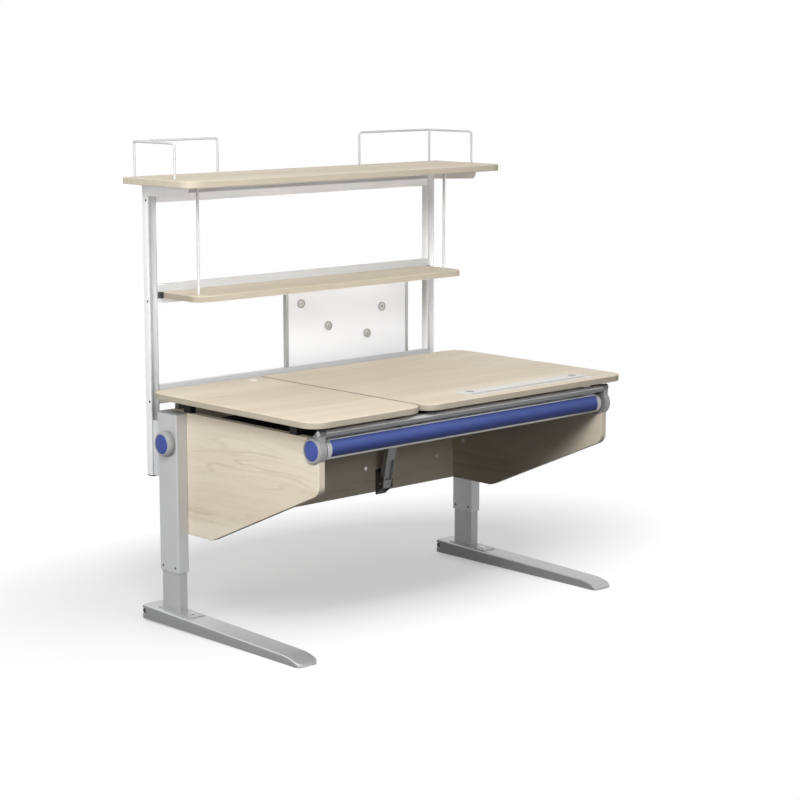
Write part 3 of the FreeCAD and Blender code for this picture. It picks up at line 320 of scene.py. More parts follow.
# each coat says only what differs from coatBase
silverCoat = {"colour": (0.535, 0.538, 0.543), "grain": 1500.0, "roughness": 0.40, "metallic": 0.45,
              "speckle": 1.10, "speckleShare": 0.6, "bump": 0.05, "bumpDepth": 0.0002, "coat": 0.05}
whiteCoat = {"colour": (0.75, 0.755, 0.765), "grain": 700.0, "roughness": 0.36, "coat": 0.12, "drift": 0.97,
             "bump": 0.05}
boardCoat = {"colour": (0.925, 0.952, 1.0), "grain": 420.0, "roughness": 0.50, "drift": 0.99, "rub": 0.02,
             "specular": 0.3, "speckle": 1.02, "speckleShare": 0.3, "bump": 0.03, "bumpDepth": 0.0002}
boardEdgeCoat = {"colour": (0.47, 0.475, 0.485), "grain": 800.0, "roughness": 0.36, "metallic": 0.5,
                 "rubStretch": (40, 40, 2)}
blueSkinShaded = {"colour": (0.090, 0.128, 0.370), "grain": 1100.0, "roughness": 0.42, "speckle": 1.25,
            "speckleShare": 0.55, "drift": 0.92, "bump": 0.22, "bumpDepth": 0.0004, "specular": 0.12,
            "cloudStretch": (0.4, 4, 4),
            # painted shade: darker towards the lower edge of the inlay, with dark lines painted along both
            # edges where it meets the bar
            "paintedBands": (("Z", inlayLow, 0.0080, 0.0330, (0.025, 0.040, 0.165)),
                      ("Z", inlayLow, 0.0018, 0.0026, (0.010, 0.013, 0.040)),
                      ("Z", inlayHigh, 0.0016, 0.0024, (0.010, 0.013, 0.040)))}
blueGloss = {"colour": (0.048, 0.076, 0.300), "grain": 900.0, "roughness": 0.34, "speckle": 1.04,
             "drift": 0.985, "specular": 0.24, "bump": 0.03, "bumpDepth": 0.0002, "rub": 0.02}
# painted shade for the sides of the feet, painted highlight for their rounded edges
footShadeCoat = {"colour": (0.300, 0.302, 0.306), "grain": 1400.0, "roughness": 0.44, "metallic": 0.30,
                "speckle": 1.12, "bumpDepth": 0.0002}
footHighlightCoat = {"colour": (0.60, 0.603, 0.608), "grain": 1400.0, "roughness": 0.36, "metallic": 0.40,
                "speckle": 1.08, "bump": 0.05, "bumpDepth": 0.0002}
housingShadedCoat = {"colour": (0.335, 0.337, 0.341), "grain": 1400.0, "roughness": 0.42, "metallic": 0.35,
               "speckle": 1.12, "bumpDepth": 0.0002,
               # painted shade: a dark line at the seam against the side panel, and the crown darker than the
               # rest
               "paintedBands": (("X", housingSeam, 0.0014, 0.0022, (0.025, 0.025, 0.026)),
                         ("Z", housingCrown, 0.0200, 0.0240, (0.19, 0.191, 0.194)))}
innerCoat = {**silverCoat, "colour": (0.460, 0.463, 0.468)}
# painted highlight: a pale band along the crown of the bar
barHighlightCoat = {**silverCoat, "paintedBands": (("Z", barCrown, 0.0039, 0.0055, (0.92, 0.92, 0.93)),)}
knobCoat = {"colour": (0.36, 0.362, 0.366), "grain": 1400.0, "roughness": 0.40, "metallic": 0.25,
            "speckle": 1.10, "bumpDepth": 0.0002}
# painted highlight: a pale band along the top of the front rail
railHighlightCoat = {"colour": (0.225, 0.228, 0.233), "grain": 1300.0, "roughness": 0.36, "metallic": 0.50,
            "rubStretch": (2, 60, 60), "rub": 0.02, "bump": 0.02, "bumpDepth": 0.0002,
            "paintedBands": (("Z", railCrown, 0.0038, 0.0060, (0.90, 0.903, 0.91)),)}
capCoat = {"colour": (0.25, 0.252, 0.256), "grain": 1000.0, "roughness": 0.50, "speckle": 1.15,
           "bump": 0.12}
wireCoat = {"colour": (0.62, 0.625, 0.635), "grain": 900.0, "roughness": 0.45, "drift": 0.97, "bump": 0.02,
            "specular": 0.25}
# painted light: a paler copy of the white coat, lifting the arms out of the shelf's shade
armLightenedCoat = {**whiteCoat, "colour": (0.93, 0.935, 0.945)}
# painted light and shade: a paler copy of the white coat for the rail under the top shelf, with a dark
# painted shade line along its middle
topRailLightAndShadeCoat = {**whiteCoat, "colour": (0.90, 0.905, 0.920),
               "paintedBands": (("Z", topRailShadeLine, 0.0032, 0.0065, (0.42, 0.42, 0.43)),)}
# painted shade: a darker copy of the white coat for the middle and low rails
railShadedCoat = {**whiteCoat, "colour": (0.655, 0.66, 0.675)}
# painted light and shade: paler copies of the white coat for the uprights, the right one paler still against
# the shelves' shade, and darker copies for their front hollows as painted shade, the left one darker
leftUprightLightenedCoat = {**whiteCoat, "colour": (0.90, 0.905, 0.915)}
rightUprightLightenedCoat = {**whiteCoat, "colour": (0.985, 0.988, 0.990)}
leftHollowShadeCoat = {**whiteCoat, "colour": (0.45, 0.455, 0.465)}
rightHollowShadeCoat = {**whiteCoat, "colour": (0.67, 0.675, 0.685)}
# painted highlight: the lip of the bar is a paler copy of the silver
lipHighlightCoat = {**silverCoat, "colour": (0.86, 0.863, 0.868), "metallic": 0.30}
buttonCoat = {"colour": (0.95, 0.95, 0.94), "grain": 900.0, "roughness": 0.30, "metallic": 0.6,
              "bump": 0.04}
magnetCoat = {"colour": (0.58, 0.582, 0.586), "grain": 600.0, "roughness": 0.20, "metallic": 1.0,
              "rubStretch": (90, 6, 90), "bump": 0.02}
recessCoat = {"colour": (0.70, 0.702, 0.706), "grain": 700.0, "roughness": 0.30, "metallic": 0.8,
              "speckle": 1.1, "bump": 0.08}
postMould = {"colour": (0.010, 0.010, 0.011), "grain": 1300.0, "roughness": 0.60, "speckle": 1.6,
             "bump": 0.18, "specular": 0.25}
chromePlate = {"colour": (0.78, 0.785, 0.79), "grain": 600.0, "roughness": 0.16, "metallic": 1.0,
               "rubStretch": (90, 6, 90), "bump": 0.02}
paleMould = {"colour": (0.76, 0.75, 0.72), "grain": 900.0, "roughness": 0.45, "bump": 0.08}
blackMould = {"colour": (0.026, 0.026, 0.028), "grain": 1300.0, "roughness": 0.52, "speckle": 1.6,
              "bump": 0.18}
softBlack = {"colour": (0.022, 0.022, 0.023), "grain": 650.0, "roughness": 0.74, "speckle": 1.5,
             "bump": 0.22}
charcoalMould = {"colour": (0.045, 0.043, 0.042), "grain": 950.0, "roughness": 0.58, "speckle": 1.5,
                 "bump": 0.2}
darkCoat = {"colour": (0.085, 0.086, 0.09), "grain": 1200.0, "roughness": 0.46, "speckle": 1.4,
            "bump": 0.12, "metallic": 0.2}
zincPlate = {"colour": (0.56, 0.56, 0.565), "grain": 500.0, "roughness": 0.27, "metallic": 0.95,
             "rubStretch": (90, 90, 6), "bump": 0.04}
strutCoat = {"colour": (0.38, 0.38, 0.383), "grain": 1200.0, "roughness": 0.44, "speckle": 1.3,
             "bump": 0.1, "metallic": 0.3}
clearMould = {"colour": (0.985, 0.950, 0.900), "grain": 300.0, "roughness": 0.34, "alpha": 0.72,
              "drift": 0.985, "bump": 0.03, "rub": 0.1}
studCoat = {"colour": (0.300, 0.285, 0.285), "grain": 1200.0, "roughness": 0.40, "speckle": 1.3,
            "bump": 0.08}
inkMark = {"colour": (0.110, 0.110, 0.114), "grain": 1500.0, "roughness": 0.6, "speckle": 1.4,
           "bump": 0.04}

finishes = {
    "silver_metal": coatFinish("satinSilver", silverCoat),
    "white_metal": coatFinish("smoothWhite", whiteCoat),
    "blue_plastic": coatFinish("glossBlue", blueGloss),
    "white_plastic": coatFinish("paleMould", paleMould),
    "black_plastic": coatFinish("blackMould", blackMould),
    "black_rubber": coatFinish("softBlack", softBlack),
    "charcoal_plastic": coatFinish("charcoalMould", charcoalMould),
    "dark_metal": coatFinish("darkCoat", darkCoat),
    "steel": coatFinish("zincPlate", zincPlate),
    "clear_plastic": coatFinish("clearMould", clearMould),
}
blueSkinFinish = coatFinish("grainedBlue", blueSkinShaded)
boardFinish = coatFinish("boardEnamel", boardCoat)
boardEdgeFinish = coatFinish("boardEdge", boardEdgeCoat)
inkFinish = coatFinish("rulerInk", inkMark)
strutFinish = coatFinish("strutCoat", strutCoat)
knobFinish = coatFinish("knobShell", knobCoat)
footShadeFinish = coatFinish("footSide", footShadeCoat)
footHighlightFinish = coatFinish("footEdge", footHighlightCoat)
buttonFinish = coatFinish("boltButton", buttonCoat)
magnetFinish = coatFinish("magnetCup", magnetCoat)
recessFinish = coatFinish("magnetRecess", recessCoat)
capFinish = coatFinish("legCapGrey", capCoat)
chromeFinish = coatFinish("chromePlate", chromePlate)
wireFinish = coatFinish("whiteWire", wireCoat)
hollowShadeFinish = {"upright_left": coatFinish("leftHollow", leftHollowShadeCoat),
                "upright_right": coatFinish("rightHollow", rightHollowShadeCoat)}
lipHighlightFinish = coatFinish("barLip", lipHighlightCoat)
# for a board: axes of the grain and of the face, where the figure is taken from, and the split beside it,
# along which shade is painted
ownFinish = {
    "left_top": mapleFinish("mapleLeftTop", mapleTop, 0, 2, (0.37, 1.21, 0.4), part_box("left_top")[1].x),
    "right_top": mapleFinish("mapleRightTop", mapleTop, 0, 2, (2.83, 0.45, 0.9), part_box("right_top")[0].x),
    "top_shelf": mapleFinish("mapleTopShelf", mapleShelf, 0, 2, (5.1, 2.2, 1.3)),
    "lower_shelf": mapleFinish("mapleLowerShelf", mapleLowShadedEdge, 0, 2, (7.4, 3.9, 2.1)),
    "side_panel_left": mapleFinish("maplePanelLeft", maplePanel, 1, 0, (1.6, 4.2, 3.3)),
    "side_panel_right": mapleFinish("maplePanelRight", maplePanel, 1, 0, (3.7, 6.1, 4.8)),
    "back_panel": mapleFinish("maplePanelBack", maplePanel, 0, 1, (4.9, 1.7, 6.2)),
    "drawer_inlay": blueSkinFinish,
    "strut_tube_body": strutFinish,
    "strut_rod": strutFinish,
    "board_panel": boardFinish,
    "board_edges": boardEdgeFinish,
    "inner_tubes": coatFinish("innerSilver", innerCoat),
    "drawer_bar": coatFinish("barSilver", barHighlightCoat),
    "shelf_arms": coatFinish("armWhite", armLightenedCoat),
    "hutch_rail_top": coatFinish("topRailWhite", topRailLightAndShadeCoat),
    "hutch_rail_middle": coatFinish("middleRailWhite", railShadedCoat),
    "hutch_rail_low": coatFinish("lowRailWhite", railShadedCoat),
    "upright_left": coatFinish("leftUprightWhite", leftUprightLightenedCoat),
    "upright_right": coatFinish("rightUprightWhite", rightUprightLightenedCoat),
    "end_housings": coatFinish("housingGrey", housingShadedCoat),
    "front_rail": coatFinish("graphiteRail", railHighlightCoat),
    "top_posts": coatFinish("postBlack", postMould),
    "ruler_studs": coatFinish("studGrey", studCoat),
    "wire_guards": wireFinish,
    "shelf_hangers": wireFinish,
}
finishOf = {name: ownFinish.get(name) or finishes[slotOf[name]] for name in nodes}
for name, node in nodes.items():
    for spot in node.material_slots:
        spot.material = finishOf[name]
print("finishes made:", len(bpy.data.materials))


# pieces: a mesh in the frame's own metres, riding on the body of the node that it belongs to
def addPiece(name, bm, owner, material, replaced=(), sharp=35):
    mesh = bpy.data.meshes.new(name)
    bmesh.ops.recalc_face_normals(bm, faces=bm.faces)
    bm.to_mesh(mesh)
    bm.free()
    if "custom_normal" in mesh.attributes:
        mesh.attributes.remove(mesh.attributes["custom_normal"])
    mesh.materials.clear()
    mesh.materials.append(material)
    mesh.shade_smooth()
    mesh.set_sharp_from_angle(angle=math.radians(sharp))
    piece = bpy.data.objects.new(name, mesh)
    bpy.context.scene.collection.objects.link(piece)
    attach(piece, bodyOf[owner])
    if replaced:
        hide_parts(*replaced)
    return piece


easeLook = {"segments": 3, "from": 40, "flat": 0.4, "weld": 2e-6}  # angles in degrees, weld in metres


def softenEdges(piece, width):
    bevel = piece.modifiers.new("eased", "BEVEL")
    bevel.width = width
    bevel.segments = easeLook["segments"]
    bevel.limit_method = "ANGLE"
    bevel.angle_limit = math.radians(easeLook["from"])
    bevel.harden_normals = True


# the boxes of the separate solids in a node
def solidsOf(name):
    bm = bmesh.new()
    bm.from_mesh(nodes[name].data)
    bmesh.ops.remove_doubles(bm, verts=bm.verts, dist=easeLook["weld"])
    seen = set()
    boxes = []
    for start in bm.verts:
        if start in seen:
            continue
        island, queue = [], [start]
        seen.add(start)
        while queue:
            vert = queue.pop()
            island.append(vert.co.copy())
            for edge in vert.link_edges:
                other = edge.other_vert(vert)
                if other not in seen:
                    seen.add(other)
                    queue.append(other)
        low = Vector(min(co[axis] for co in island) for axis in range(3))
        high = Vector(max(co[axis] for co in island) for axis in range(3))
        boxes.append((low, high))
    bm.free()
    return sorted(boxes, key=lambda box: tuple(round(part, 5) for part in box[0]))


# copies of sharp-edged nodes with their edges eased, as folded and drawn metal has
eased = {
    "inner_tubes": 0.0006, "hutch_rail_low": 0.0016, "hutch_rail_middle": 0.0016, "hutch_rail_top": 0.0016,
    "board_panel": 0.0006, "board_edges": 0.0012, "hutch_carriers": 0.0006, "shelf_clips": 0.0008,
    "top_frame": 0.0012, "top_posts": 0.0010, "rail_buffers": 0.0012, "front_rail": 0.0012,
    "drawer_tray": 0.0006, "drawer_runners": 0.0003, "drawer_slides": 0.0004, "board_hooks": 0.0004,
    "strut_bracket": 0.0005, "strut_tube_body": 0.0009, "strut_rod": 0.0006, "strut_stud": 0.0005,
}


# the seat plate of a leg leans with the top of the foot
seatLook = {"fall": 0.0045, "within": 2e-4}
seatFront, seatBack = (corner.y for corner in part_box("inner_tubes"))
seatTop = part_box("seat_screws")[0].z  # its screw stands on it


def seatDrop(y):
    return seatLook["fall"] * (seatBack - y) / (seatBack - seatFront)


def easedCopy(name, width):
    bm = bmesh.new()
    bm.from_mesh(nodes[name].data)
    bmesh.ops.remove_doubles(bm, verts=bm.verts, dist=easeLook["weld"])
    if name == "inner_tubes":
        for vert in bm.verts:
            if abs(vert.co.z - seatTop) < seatLook["within"]:
                vert.co.z -= seatDrop(vert.co.y)
    flat = math.radians(easeLook["flat"])
    bmesh.ops.dissolve_limit(bm, angle_limit=flat, verts=bm.verts, edges=bm.edges)
    piece = addPiece(name + ".eased", bm, name, finishOf[name], (name,), sharp=easeLook["from"])
    softenEdges(piece, width)


for name, width in eased.items():
    easedCopy(name, width)
print("eased copies:", len(eased))


# faces between rings of points, with both ends closed
def joinRings(bm, rings):
    count = len(rings[0])
    for first, second in zip(rings[:-1], rings[1:]):
        for step in range(count):
            after = (step + 1) % count
            bm.faces.new((first[step], first[after], second[after], second[step]))
    bm.faces.new(rings[0][::-1])
    bm.faces.new(rings[-1])


# turned caps: rings of points from a profile of (radius share, height share)
def turnedCap(bm, centre, axis, radius, height, profile, count=40, socket=None):
    turn = Vector((0, 0, 1)).rotation_difference(axis).to_matrix()
    sixth = math.pi / 3
    rings = []
    for radiusShare, heightShare in profile:
        ring = []
        for step in range(count):
            angle = 2 * math.pi * step / count
            reach = radius * radiusShare
            if socket and radiusShare <= socket:  # six flats inside
                turnIn = (angle + sixth / 2) % sixth - sixth / 2
                reach = reach * math.cos(sixth / 2) / math.cos(turnIn)
            spot = Vector((reach * math.cos(angle), reach * math.sin(angle), height * heightShare))
            ring.append(bm.verts.new(centre + turn @ spot))
        rings.append(ring)
    joinRings(bm, rings)


socketHead = [(0.94, 0.0), (1.0, 0.12), (1.0, 0.45), (0.95, 0.72), (0.84, 0.92), (0.70, 1.0), (0.56, 1.0),
              (0.52, 0.94), (0.50, 0.22)]
ringHead = [(0.98, 0.0), (1.0, 0.15), (1.0, 0.62), (0.96, 0.88), (0.88, 1.0), (0.66, 1.0), (0.62, 0.90),
            (0.60, 0.50), (0.44, 0.46), (0.40, 0.12)]
domeCap = [(0.96, 0.0), (1.0, 0.14), (0.98, 0.40), (0.90, 0.66), (0.72, 0.88), (0.45, 0.98), (0.20, 1.0)]
cupMagnet = [(0.95, 0.0), (1.0, 0.05), (1.0, 0.80), (0.97, 0.92), (0.92, 0.985), (0.86, 1.0), (0.80, 0.985),
             (0.77, 0.93), (0.755, 0.60), (0.70, 0.52), (0.42, 0.54), (0.36, 0.62), (0.15, 0.65)]
flatStud = [(1.0, 0.0), (1.0, 0.79), (2.34, 0.795), (2.40, 0.84), (2.36, 0.92), (2.22, 0.98),
            (1.95, 1.0), (0.60, 1.0)]
domeDisc = [(0.99, 0.0), (1.0, 0.10), (1.0, 0.26), (0.985, 0.46), (0.955, 0.60), (0.88, 0.74), (0.74, 0.86),
            (0.52, 0.945), (0.28, 0.985), (0.06, 1.0)]
knobShell = [(0.80, 0.0), (0.80, 0.12), (0.90, 0.125), (0.955, 0.15), (0.99, 0.21), (1.0, 0.29),
             (1.0, 0.52), (0.988, 0.66), (0.957, 0.79), (0.91, 0.90), (0.86, 0.965), (0.815, 0.995),
             (0.79, 1.0), (0.770, 0.988), (0.757, 0.955), (0.752, 0.84)]


def thinAxis(low, high):
    spans = [high[axis] - low[axis] for axis in range(3)]
    return spans.index(min(spans))


# a turned cap that fills a box and stands up or down one axis
def capAt(bm, low, high, axis, sign, profile, **more):
    middle = (low + high) / 2
    others = [index for index in range(3) if index != axis]
    radius = (high[others[0]] - low[others[0]]) / 2
    base = middle.copy()
    base[axis] = low[axis] if sign > 0 else high[axis]
    direction = Vector((0, 0, 0))
    direction[axis] = sign
    turnedCap(bm, base, direction, radius, high[axis] - low[axis], profile, **more)


# dark screw heads of the legs and hutch, bright ones on the lugs with a dark dome filling the socket as
# painted shade
screwLook = {"lugFrom": 0.010, "lugSocket": 0.45, "headSocket": 0.57, "heartShare": 0.28,
             "heartSink": 0.0002, "near": 1e-4}
bm = bmesh.new()
bright = bmesh.new()
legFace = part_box("outer_tube_right")[0].x
for low, high in solidsOf("frame_screws"):
    out = 1 if low.x > 0 else -1
    atInnerFace = abs(max(abs(low.x), abs(high.x)) - legFace) < screwLook["near"]
    if high.y - low.y > screwLook["lugFrom"]:
        capAt(bright, low, high, 0, out, ringHead, socket=screwLook["lugSocket"])
        # painted shade: a dark dome stands in the socket's hollow
        heart = (high - low) * screwLook["heartShare"]
        heartLow = low + Vector((0, heart.y, heart.z))
        heartHigh = high - Vector((screwLook["heartSink"] * out, heart.y, heart.z))
        capAt(bm, heartLow, heartHigh, 0, out, domeCap)
    else:
        sign = -out if atInnerFace else out
        capAt(bm, low, high, 0, sign, socketHead, socket=screwLook["headSocket"])
addPiece("screwHeads", bm, "frame_screws", finishes["dark_metal"], ("frame_screws",))
addPiece("lugScrews", bright, "frame_screws", chromeFinish, ("frame_screws",))

# screws of the leg seats
bm = bmesh.new()
for low, high in solidsOf("seat_screws"):
    sink = Vector((0, 0, seatDrop((low.y + high.y) / 2)))
    capAt(bm, low - sink, high - sink, 2, 1, socketHead, socket=screwLook["headSocket"])
addPiece("seatScrews", bm, "seat_screws", chromeFinish, ("seat_screws",))

# buttons that hide the panel bolts
bm = bmesh.new()
for low, high in solidsOf("panel_buttons"):
    axis = thinAxis(low, high)
    inward = -1 if axis == 1 or low.x > 0 else 1
    capAt(bm, low, high, axis, inward, domeCap)
addPiece("boltButtons", bm, "panel_buttons", buttonFinish, ("panel_buttons",), sharp=50)

# studs of the ruler, with flat heads wider than the shank
bm = bmesh.new()
for low, high in solidsOf("ruler_studs"):
    capAt(bm, low, high, 2, 1, flatStud, count=48)
addPiece("rulerStuds", bm, "ruler_studs", finishOf["ruler_studs"], ("ruler_studs",))

# cup magnets on the board, with a paler floor inside the rim
magnetLook = {"recess": 0.0006, "core": 0.0050, "facing": 0.5}
magnetBoxes = solidsOf("board_magnets")
bm = bmesh.new()
for low, high in magnetBoxes:
    capAt(bm, low, high, 1, -1, cupMagnet, count=48)
magnets = addPiece("cupMagnets", bm, "board_magnets", magnetFinish, ("board_magnets",))
magnets.data.materials.append(recessFinish)
magnets.data.materials.append(finishes["steel"])
cores = [(low + high) / 2 for low, high in magnetBoxes]
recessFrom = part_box("board_magnets")[0].y + magnetLook["recess"]
for polygon in magnets.data.polygons:
    inside = polygon.normal.y < -magnetLook["facing"] and polygon.center.y > recessFrom
    reach = min((polygon.center - core).xz.length for core in cores)
    if inside:
        polygon.material_index = 2 if reach < magnetLook["core"] else 1
print("turned caps made")

# clamp knobs and the blue discs of knobs and housings
for side, out in (("left", -1), ("right", 1)):
    bm = bmesh.new()
    capAt(bm, *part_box("leg_knob_" + side), 0, out, knobShell, count=72)
    addPiece("knobShell." + side, bm, "leg_knob_" + side, knobFinish, ("leg_knob_" + side,), sharp=28)
for name in ("leg_knob_disc_left", "leg_knob_disc_right", "end_discs"):
    bm = bmesh.new()
    for low, high in solidsOf(name):
        out = 1 if low.x > 0 else -1
        capAt(bm, low, high, 0, out, domeDisc, count=64)
    addPiece(name + ".domed", bm, name, finishes["blue_plastic"], (name,), sharp=60)
print("knobs and discs made")


# an outline in the two other axes, pulled along one axis and closed at both ends
def pulled(bm, outline, axis, start, end):
    rings = []
    for reach in (start, end):
        ring = []
        for first, second in outline:
            spot = [first, second]
            spot.insert(axis, reach)
            ring.append(bm.verts.new(spot))
        rings.append(ring)
    joinRings(bm, rings)


def arcPoints(centre, radius, start, end, steps=5):
    points = []
    for step in range(steps + 1):
        angle = math.radians(start + (end - start) * step / steps)
        points.append((centre[0] + radius * math.cos(angle), centre[1] + radius * math.sin(angle)))
    return points


# a rectangle in plan with four round corners, and points of its front side between the first two
def roundedPlan(low, high, turn, front=()):
    outline = arcPoints((low.x + turn, low.y + turn), turn, 180, 270)
    outline += front
    outline += arcPoints((high.x - turn, low.y + turn), turn, 270, 360)
    outline += arcPoints((high.x - turn, high.y - turn), turn, 0, 90)
    outline += arcPoints((low.x + turn, high.y - turn), turn, 90, 180)
    return outline


# uprights: drawn tube with a shallow hollow down the front
uprightLook = {"round": 0.0030, "rim": 0.0042, "hollow": 0.0060, "edge": 0.0006, "steps": 18, "facing": 0.5}
for name in ("upright_left", "upright_right"):
    low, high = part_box(name)
    hollow = []
    for step in range(uprightLook["steps"] + 1):
        share = step / uprightLook["steps"]
        x = low.x + uprightLook["rim"] + share * (high.x - low.x - 2 * uprightLook["rim"])
        hollow.append((x, low.y + uprightLook["hollow"] * math.sin(math.pi * share)))
    bm = bmesh.new()
    pulled(bm, roundedPlan(low, high, uprightLook["round"], hollow), 2, low.z, high.z)
    upright = addPiece(name + ".drawn", bm, name, finishOf[name], (name,))
    # painted shade: the faces of the front hollow take the darker copy
    upright.data.materials.append(hollowShadeFinish[name])
    middle = (low.x + high.x) / 2
    reach = (high.x - low.x) / 2 - uprightLook["edge"]
    for polygon in upright.data.polygons:
        atFront = polygon.normal.y < -uprightLook["facing"]
        polygon.material_index = 1 if atFront and abs(polygon.center.x - middle) < reach else 0

# shelf arms: plates that narrow towards the front, with a round lower corner
armLook = {"rear": 0.034, "tip": 0.026, "round": 0.016, "steps": 8, "ease": 0.0007}
bm = bmesh.new()
for low, high in solidsOf("shelf_arms"):
    turn = armLook["round"]
    outline = [(low.y, high.z), (high.y, high.z), (high.y, high.z - armLook["rear"])]
    outline += arcPoints((low.y + turn, high.z - armLook["tip"] + turn), turn, 270, 180, armLook["steps"])
    pulled(bm, outline, 0, low.x, high.x)
arms = addPiece("shelfArms", bm, "shelf_arms", finishOf["shelf_arms"], ("shelf_arms",))
softenEdges(arms, armLook["ease"])

# lip of the drawer bar: a bead along the upper edge of the blue inlay, in a paler copy of the silver as
# painted highlight
lipLook = {"radius": 0.0020, "turn": 64, "sink": 0.0002, "round": 340, "steps": 17}
low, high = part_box("drawer_bar")
barRadius = (high.z - low.z) / 2
lipTurn = math.radians(lipLook["turn"])
lipReach = barRadius - lipLook["sink"]
lipMiddle = (low.y + barRadius - lipReach * math.cos(lipTurn),
             low.z + barRadius + lipReach * math.sin(lipTurn))
lipOutline = arcPoints(lipMiddle, lipLook["radius"], 0, lipLook["round"], lipLook["steps"])
bm = bmesh.new()
pulled(bm, lipOutline, 0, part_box("drawer_inlay")[0].x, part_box("drawer_inlay")[1].x)
addPiece("barLip", bm, "drawer_bar", lipHighlightFinish)

# caps of the tubes: grey on the legs, black under the uprights
capLook = {"legRound": 0.004, "uprightRound": 0.003, "ease": 0.0010}
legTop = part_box("outer_tube_left")[1].z
legCaps = bmesh.new()
uprightCaps = bmesh.new()
for low, high in solidsOf("tube_caps"):
    onLeg = high.z > legTop
    turn = capLook["legRound"] if onLeg else capLook["uprightRound"]
    pulled(legCaps if onLeg else uprightCaps, roundedPlan(low, high, turn), 2, low.z, high.z)
caps = addPiece("legCaps", legCaps, "tube_caps", capFinish, ("tube_caps",))
softenEdges(caps, capLook["ease"])
caps = addPiece("uprightCaps", uprightCaps, "tube_caps", finishes["black_plastic"], ("tube_caps",))
softenEdges(caps, capLook["ease"])
print("uprights, arms and caps made")

# feet: sections set along the length, sides leaning in towards the floor, nose dropping in one curve
footLook = {"brow": 0.003, "sill": 0.015, "notchTop": 0.031, "notchDepth": 0.016, "frontTall": 0.0295,
            "noseLength": 0.0544, "bend": 0.076, "power": 2.3, "tip": 0.0118, "corner": 0.024, "lean": 0.10,
            "edge": 0.0048, "heel": 0.012, "heelRise": 0.0035, "settle": 0.0001, "turn": 0.0009,
            "edgeShare": 0.46, "edgeSteps": 7, "bodySteps": 9, "noseSteps": 32, "crowd": 1.7,
            "sideFrom": 0.9, "edgeFrom": 0.45}


def footRing(wide, top, low, full, edge):
    def half(z):
        return wide - footLook["lean"] * (full - z)

    turn = footLook["turn"]
    ring = [(half(low) - turn, low), (half(low + turn), low + turn)]
    ring.append((half((low + top - edge) / 2), (low + top - edge) / 2))
    ring += arcPoints((half(top - edge) - edge, top - edge), edge, 0, 90, footLook["edgeSteps"])
    return ring + [(-x, z) for x, z in ring[::-1]]


def footLump(bm, middle, stations):
    rings = []
    for y, *shape in stations:
        rings.append([bm.verts.new((middle + x, y, z)) for x, z in footRing(*shape)])
    joinRings(bm, rings)


for name in ("foot_left", "foot_right"):
    low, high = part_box(name)
    half, middle = (high.x - low.x) / 2, (high.x + low.x) / 2
    brow = high.y - footLook["brow"]
    slope = (high.z - footLook["frontTall"]) / (brow - low.y - footLook["noseLength"])

    def line(y):
        return high.z - (brow - y) * slope - footLook["settle"]

    wall = high.y - footLook["notchDepth"]
    bendStart = low.y + footLook["bend"]
    drop = line(low.y) - footLook["tip"]
    corner = footLook["corner"]
    stations = []
    for step in range(footLook["bodySteps"]):
        y = wall + (bendStart - wall) * step / footLook["bodySteps"]
        stations.append((y, half, line(y), low.z, line(y), footLook["edge"]))
    for step in range(footLook["noseSteps"] + 1):  # closer together towards the tip
        share = 1 - (1 - step / footLook["noseSteps"]) ** footLook["crowd"]
        y = bendStart - footLook["bend"] * share
        top = line(y) - drop * share ** footLook["power"]
        ahead = y - low.y
        wide = half
        if ahead < corner:
            wide -= corner - math.sqrt(corner ** 2 - (corner - ahead) ** 2)
        under = low.z
        if ahead < footLook["heel"]:
            under += footLook["heelRise"] * (1 - math.sqrt(1 - (1 - ahead / footLook["heel"]) ** 2))
        edge = min(footLook["edge"], footLook["edgeShare"] * (top - under))
        stations.append((y, wide, top, under, top, edge))
    bm = bmesh.new()
    footLump(bm, middle, stations)
    notchTop = low.z + footLook["notchTop"]
    ease = footLook["turn"]
    edge = footLook["edge"]
    footLump(bm, middle, [(wall, half, line(wall), notchTop, line(wall), edge),
                          (brow - ease, half, line(brow), notchTop, line(brow), edge),
                          (brow, half - ease, line(brow) - ease, notchTop + ease, line(brow), edge)])
    sill = low.z + footLook["sill"]
    footLump(bm, middle, [(wall, half, sill, low.z, line(wall), ease),
                          (high.y - ease, half, sill, low.z, line(brow), ease),
                          (high.y, half - ease, sill - ease, low.z + ease, line(brow), ease)])
    foot = addPiece(name + ".cast", bm, name, finishOf[name], (name,), sharp=38)
    foot.data.materials.append(footShadeFinish)  # painted shade: the sides take a darker copy of the silver than the top
    foot.data.materials.append(footHighlightFinish)  # painted highlight: the edges between them take a paler copy of the silver
    for polygon in foot.data.polygons:
        lean = abs(polygon.normal.x)
        onEdge = footLook["edgeFrom"] < lean and polygon.normal.z > 0
        if lean > footLook["sideFrom"]:
            polygon.material_index = 1
        elif onEdge:
            polygon.material_index = 2
print("feet made")

# divisions along the front edge of the ruler
rulerMarks = {"step": 0.001, "margin": 0.013, "tall": 0.00006, "edge": 0.0140,
              "middleEvery": 5, "longEvery": 10,
              "short": (0.0050, 0.00022), "middle": (0.0085, 0.0008), "long": (0.0160, 0.0022)}
low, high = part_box("ruler")
bm = bmesh.new()
count = int((high.x - low.x - 2 * rulerMarks["margin"]) / rulerMarks["step"])
for number in range(count + 1):
    kind = "short"
    if number % rulerMarks["longEvery"] == 0:
        kind = "long"
    elif number % rulerMarks["middleEvery"] == 0:
        kind = "middle"
    length, wide = rulerMarks[kind]
    x = low.x + rulerMarks["margin"] + number * rulerMarks["step"]
    y = low.y + rulerMarks["edge"] + length / 2
    place = Matrix.Translation((x, y, high.z)) @ Matrix.Diagonal((wide, length, rulerMarks["tall"], 1))
    bmesh.ops.create_cube(bm, size=1, matrix=place)
addPiece("rulerMarks", bm, "ruler", inkFinish)
print("ruler marks:", count + 1)

plainWhite = (1, 1, 1, 1)

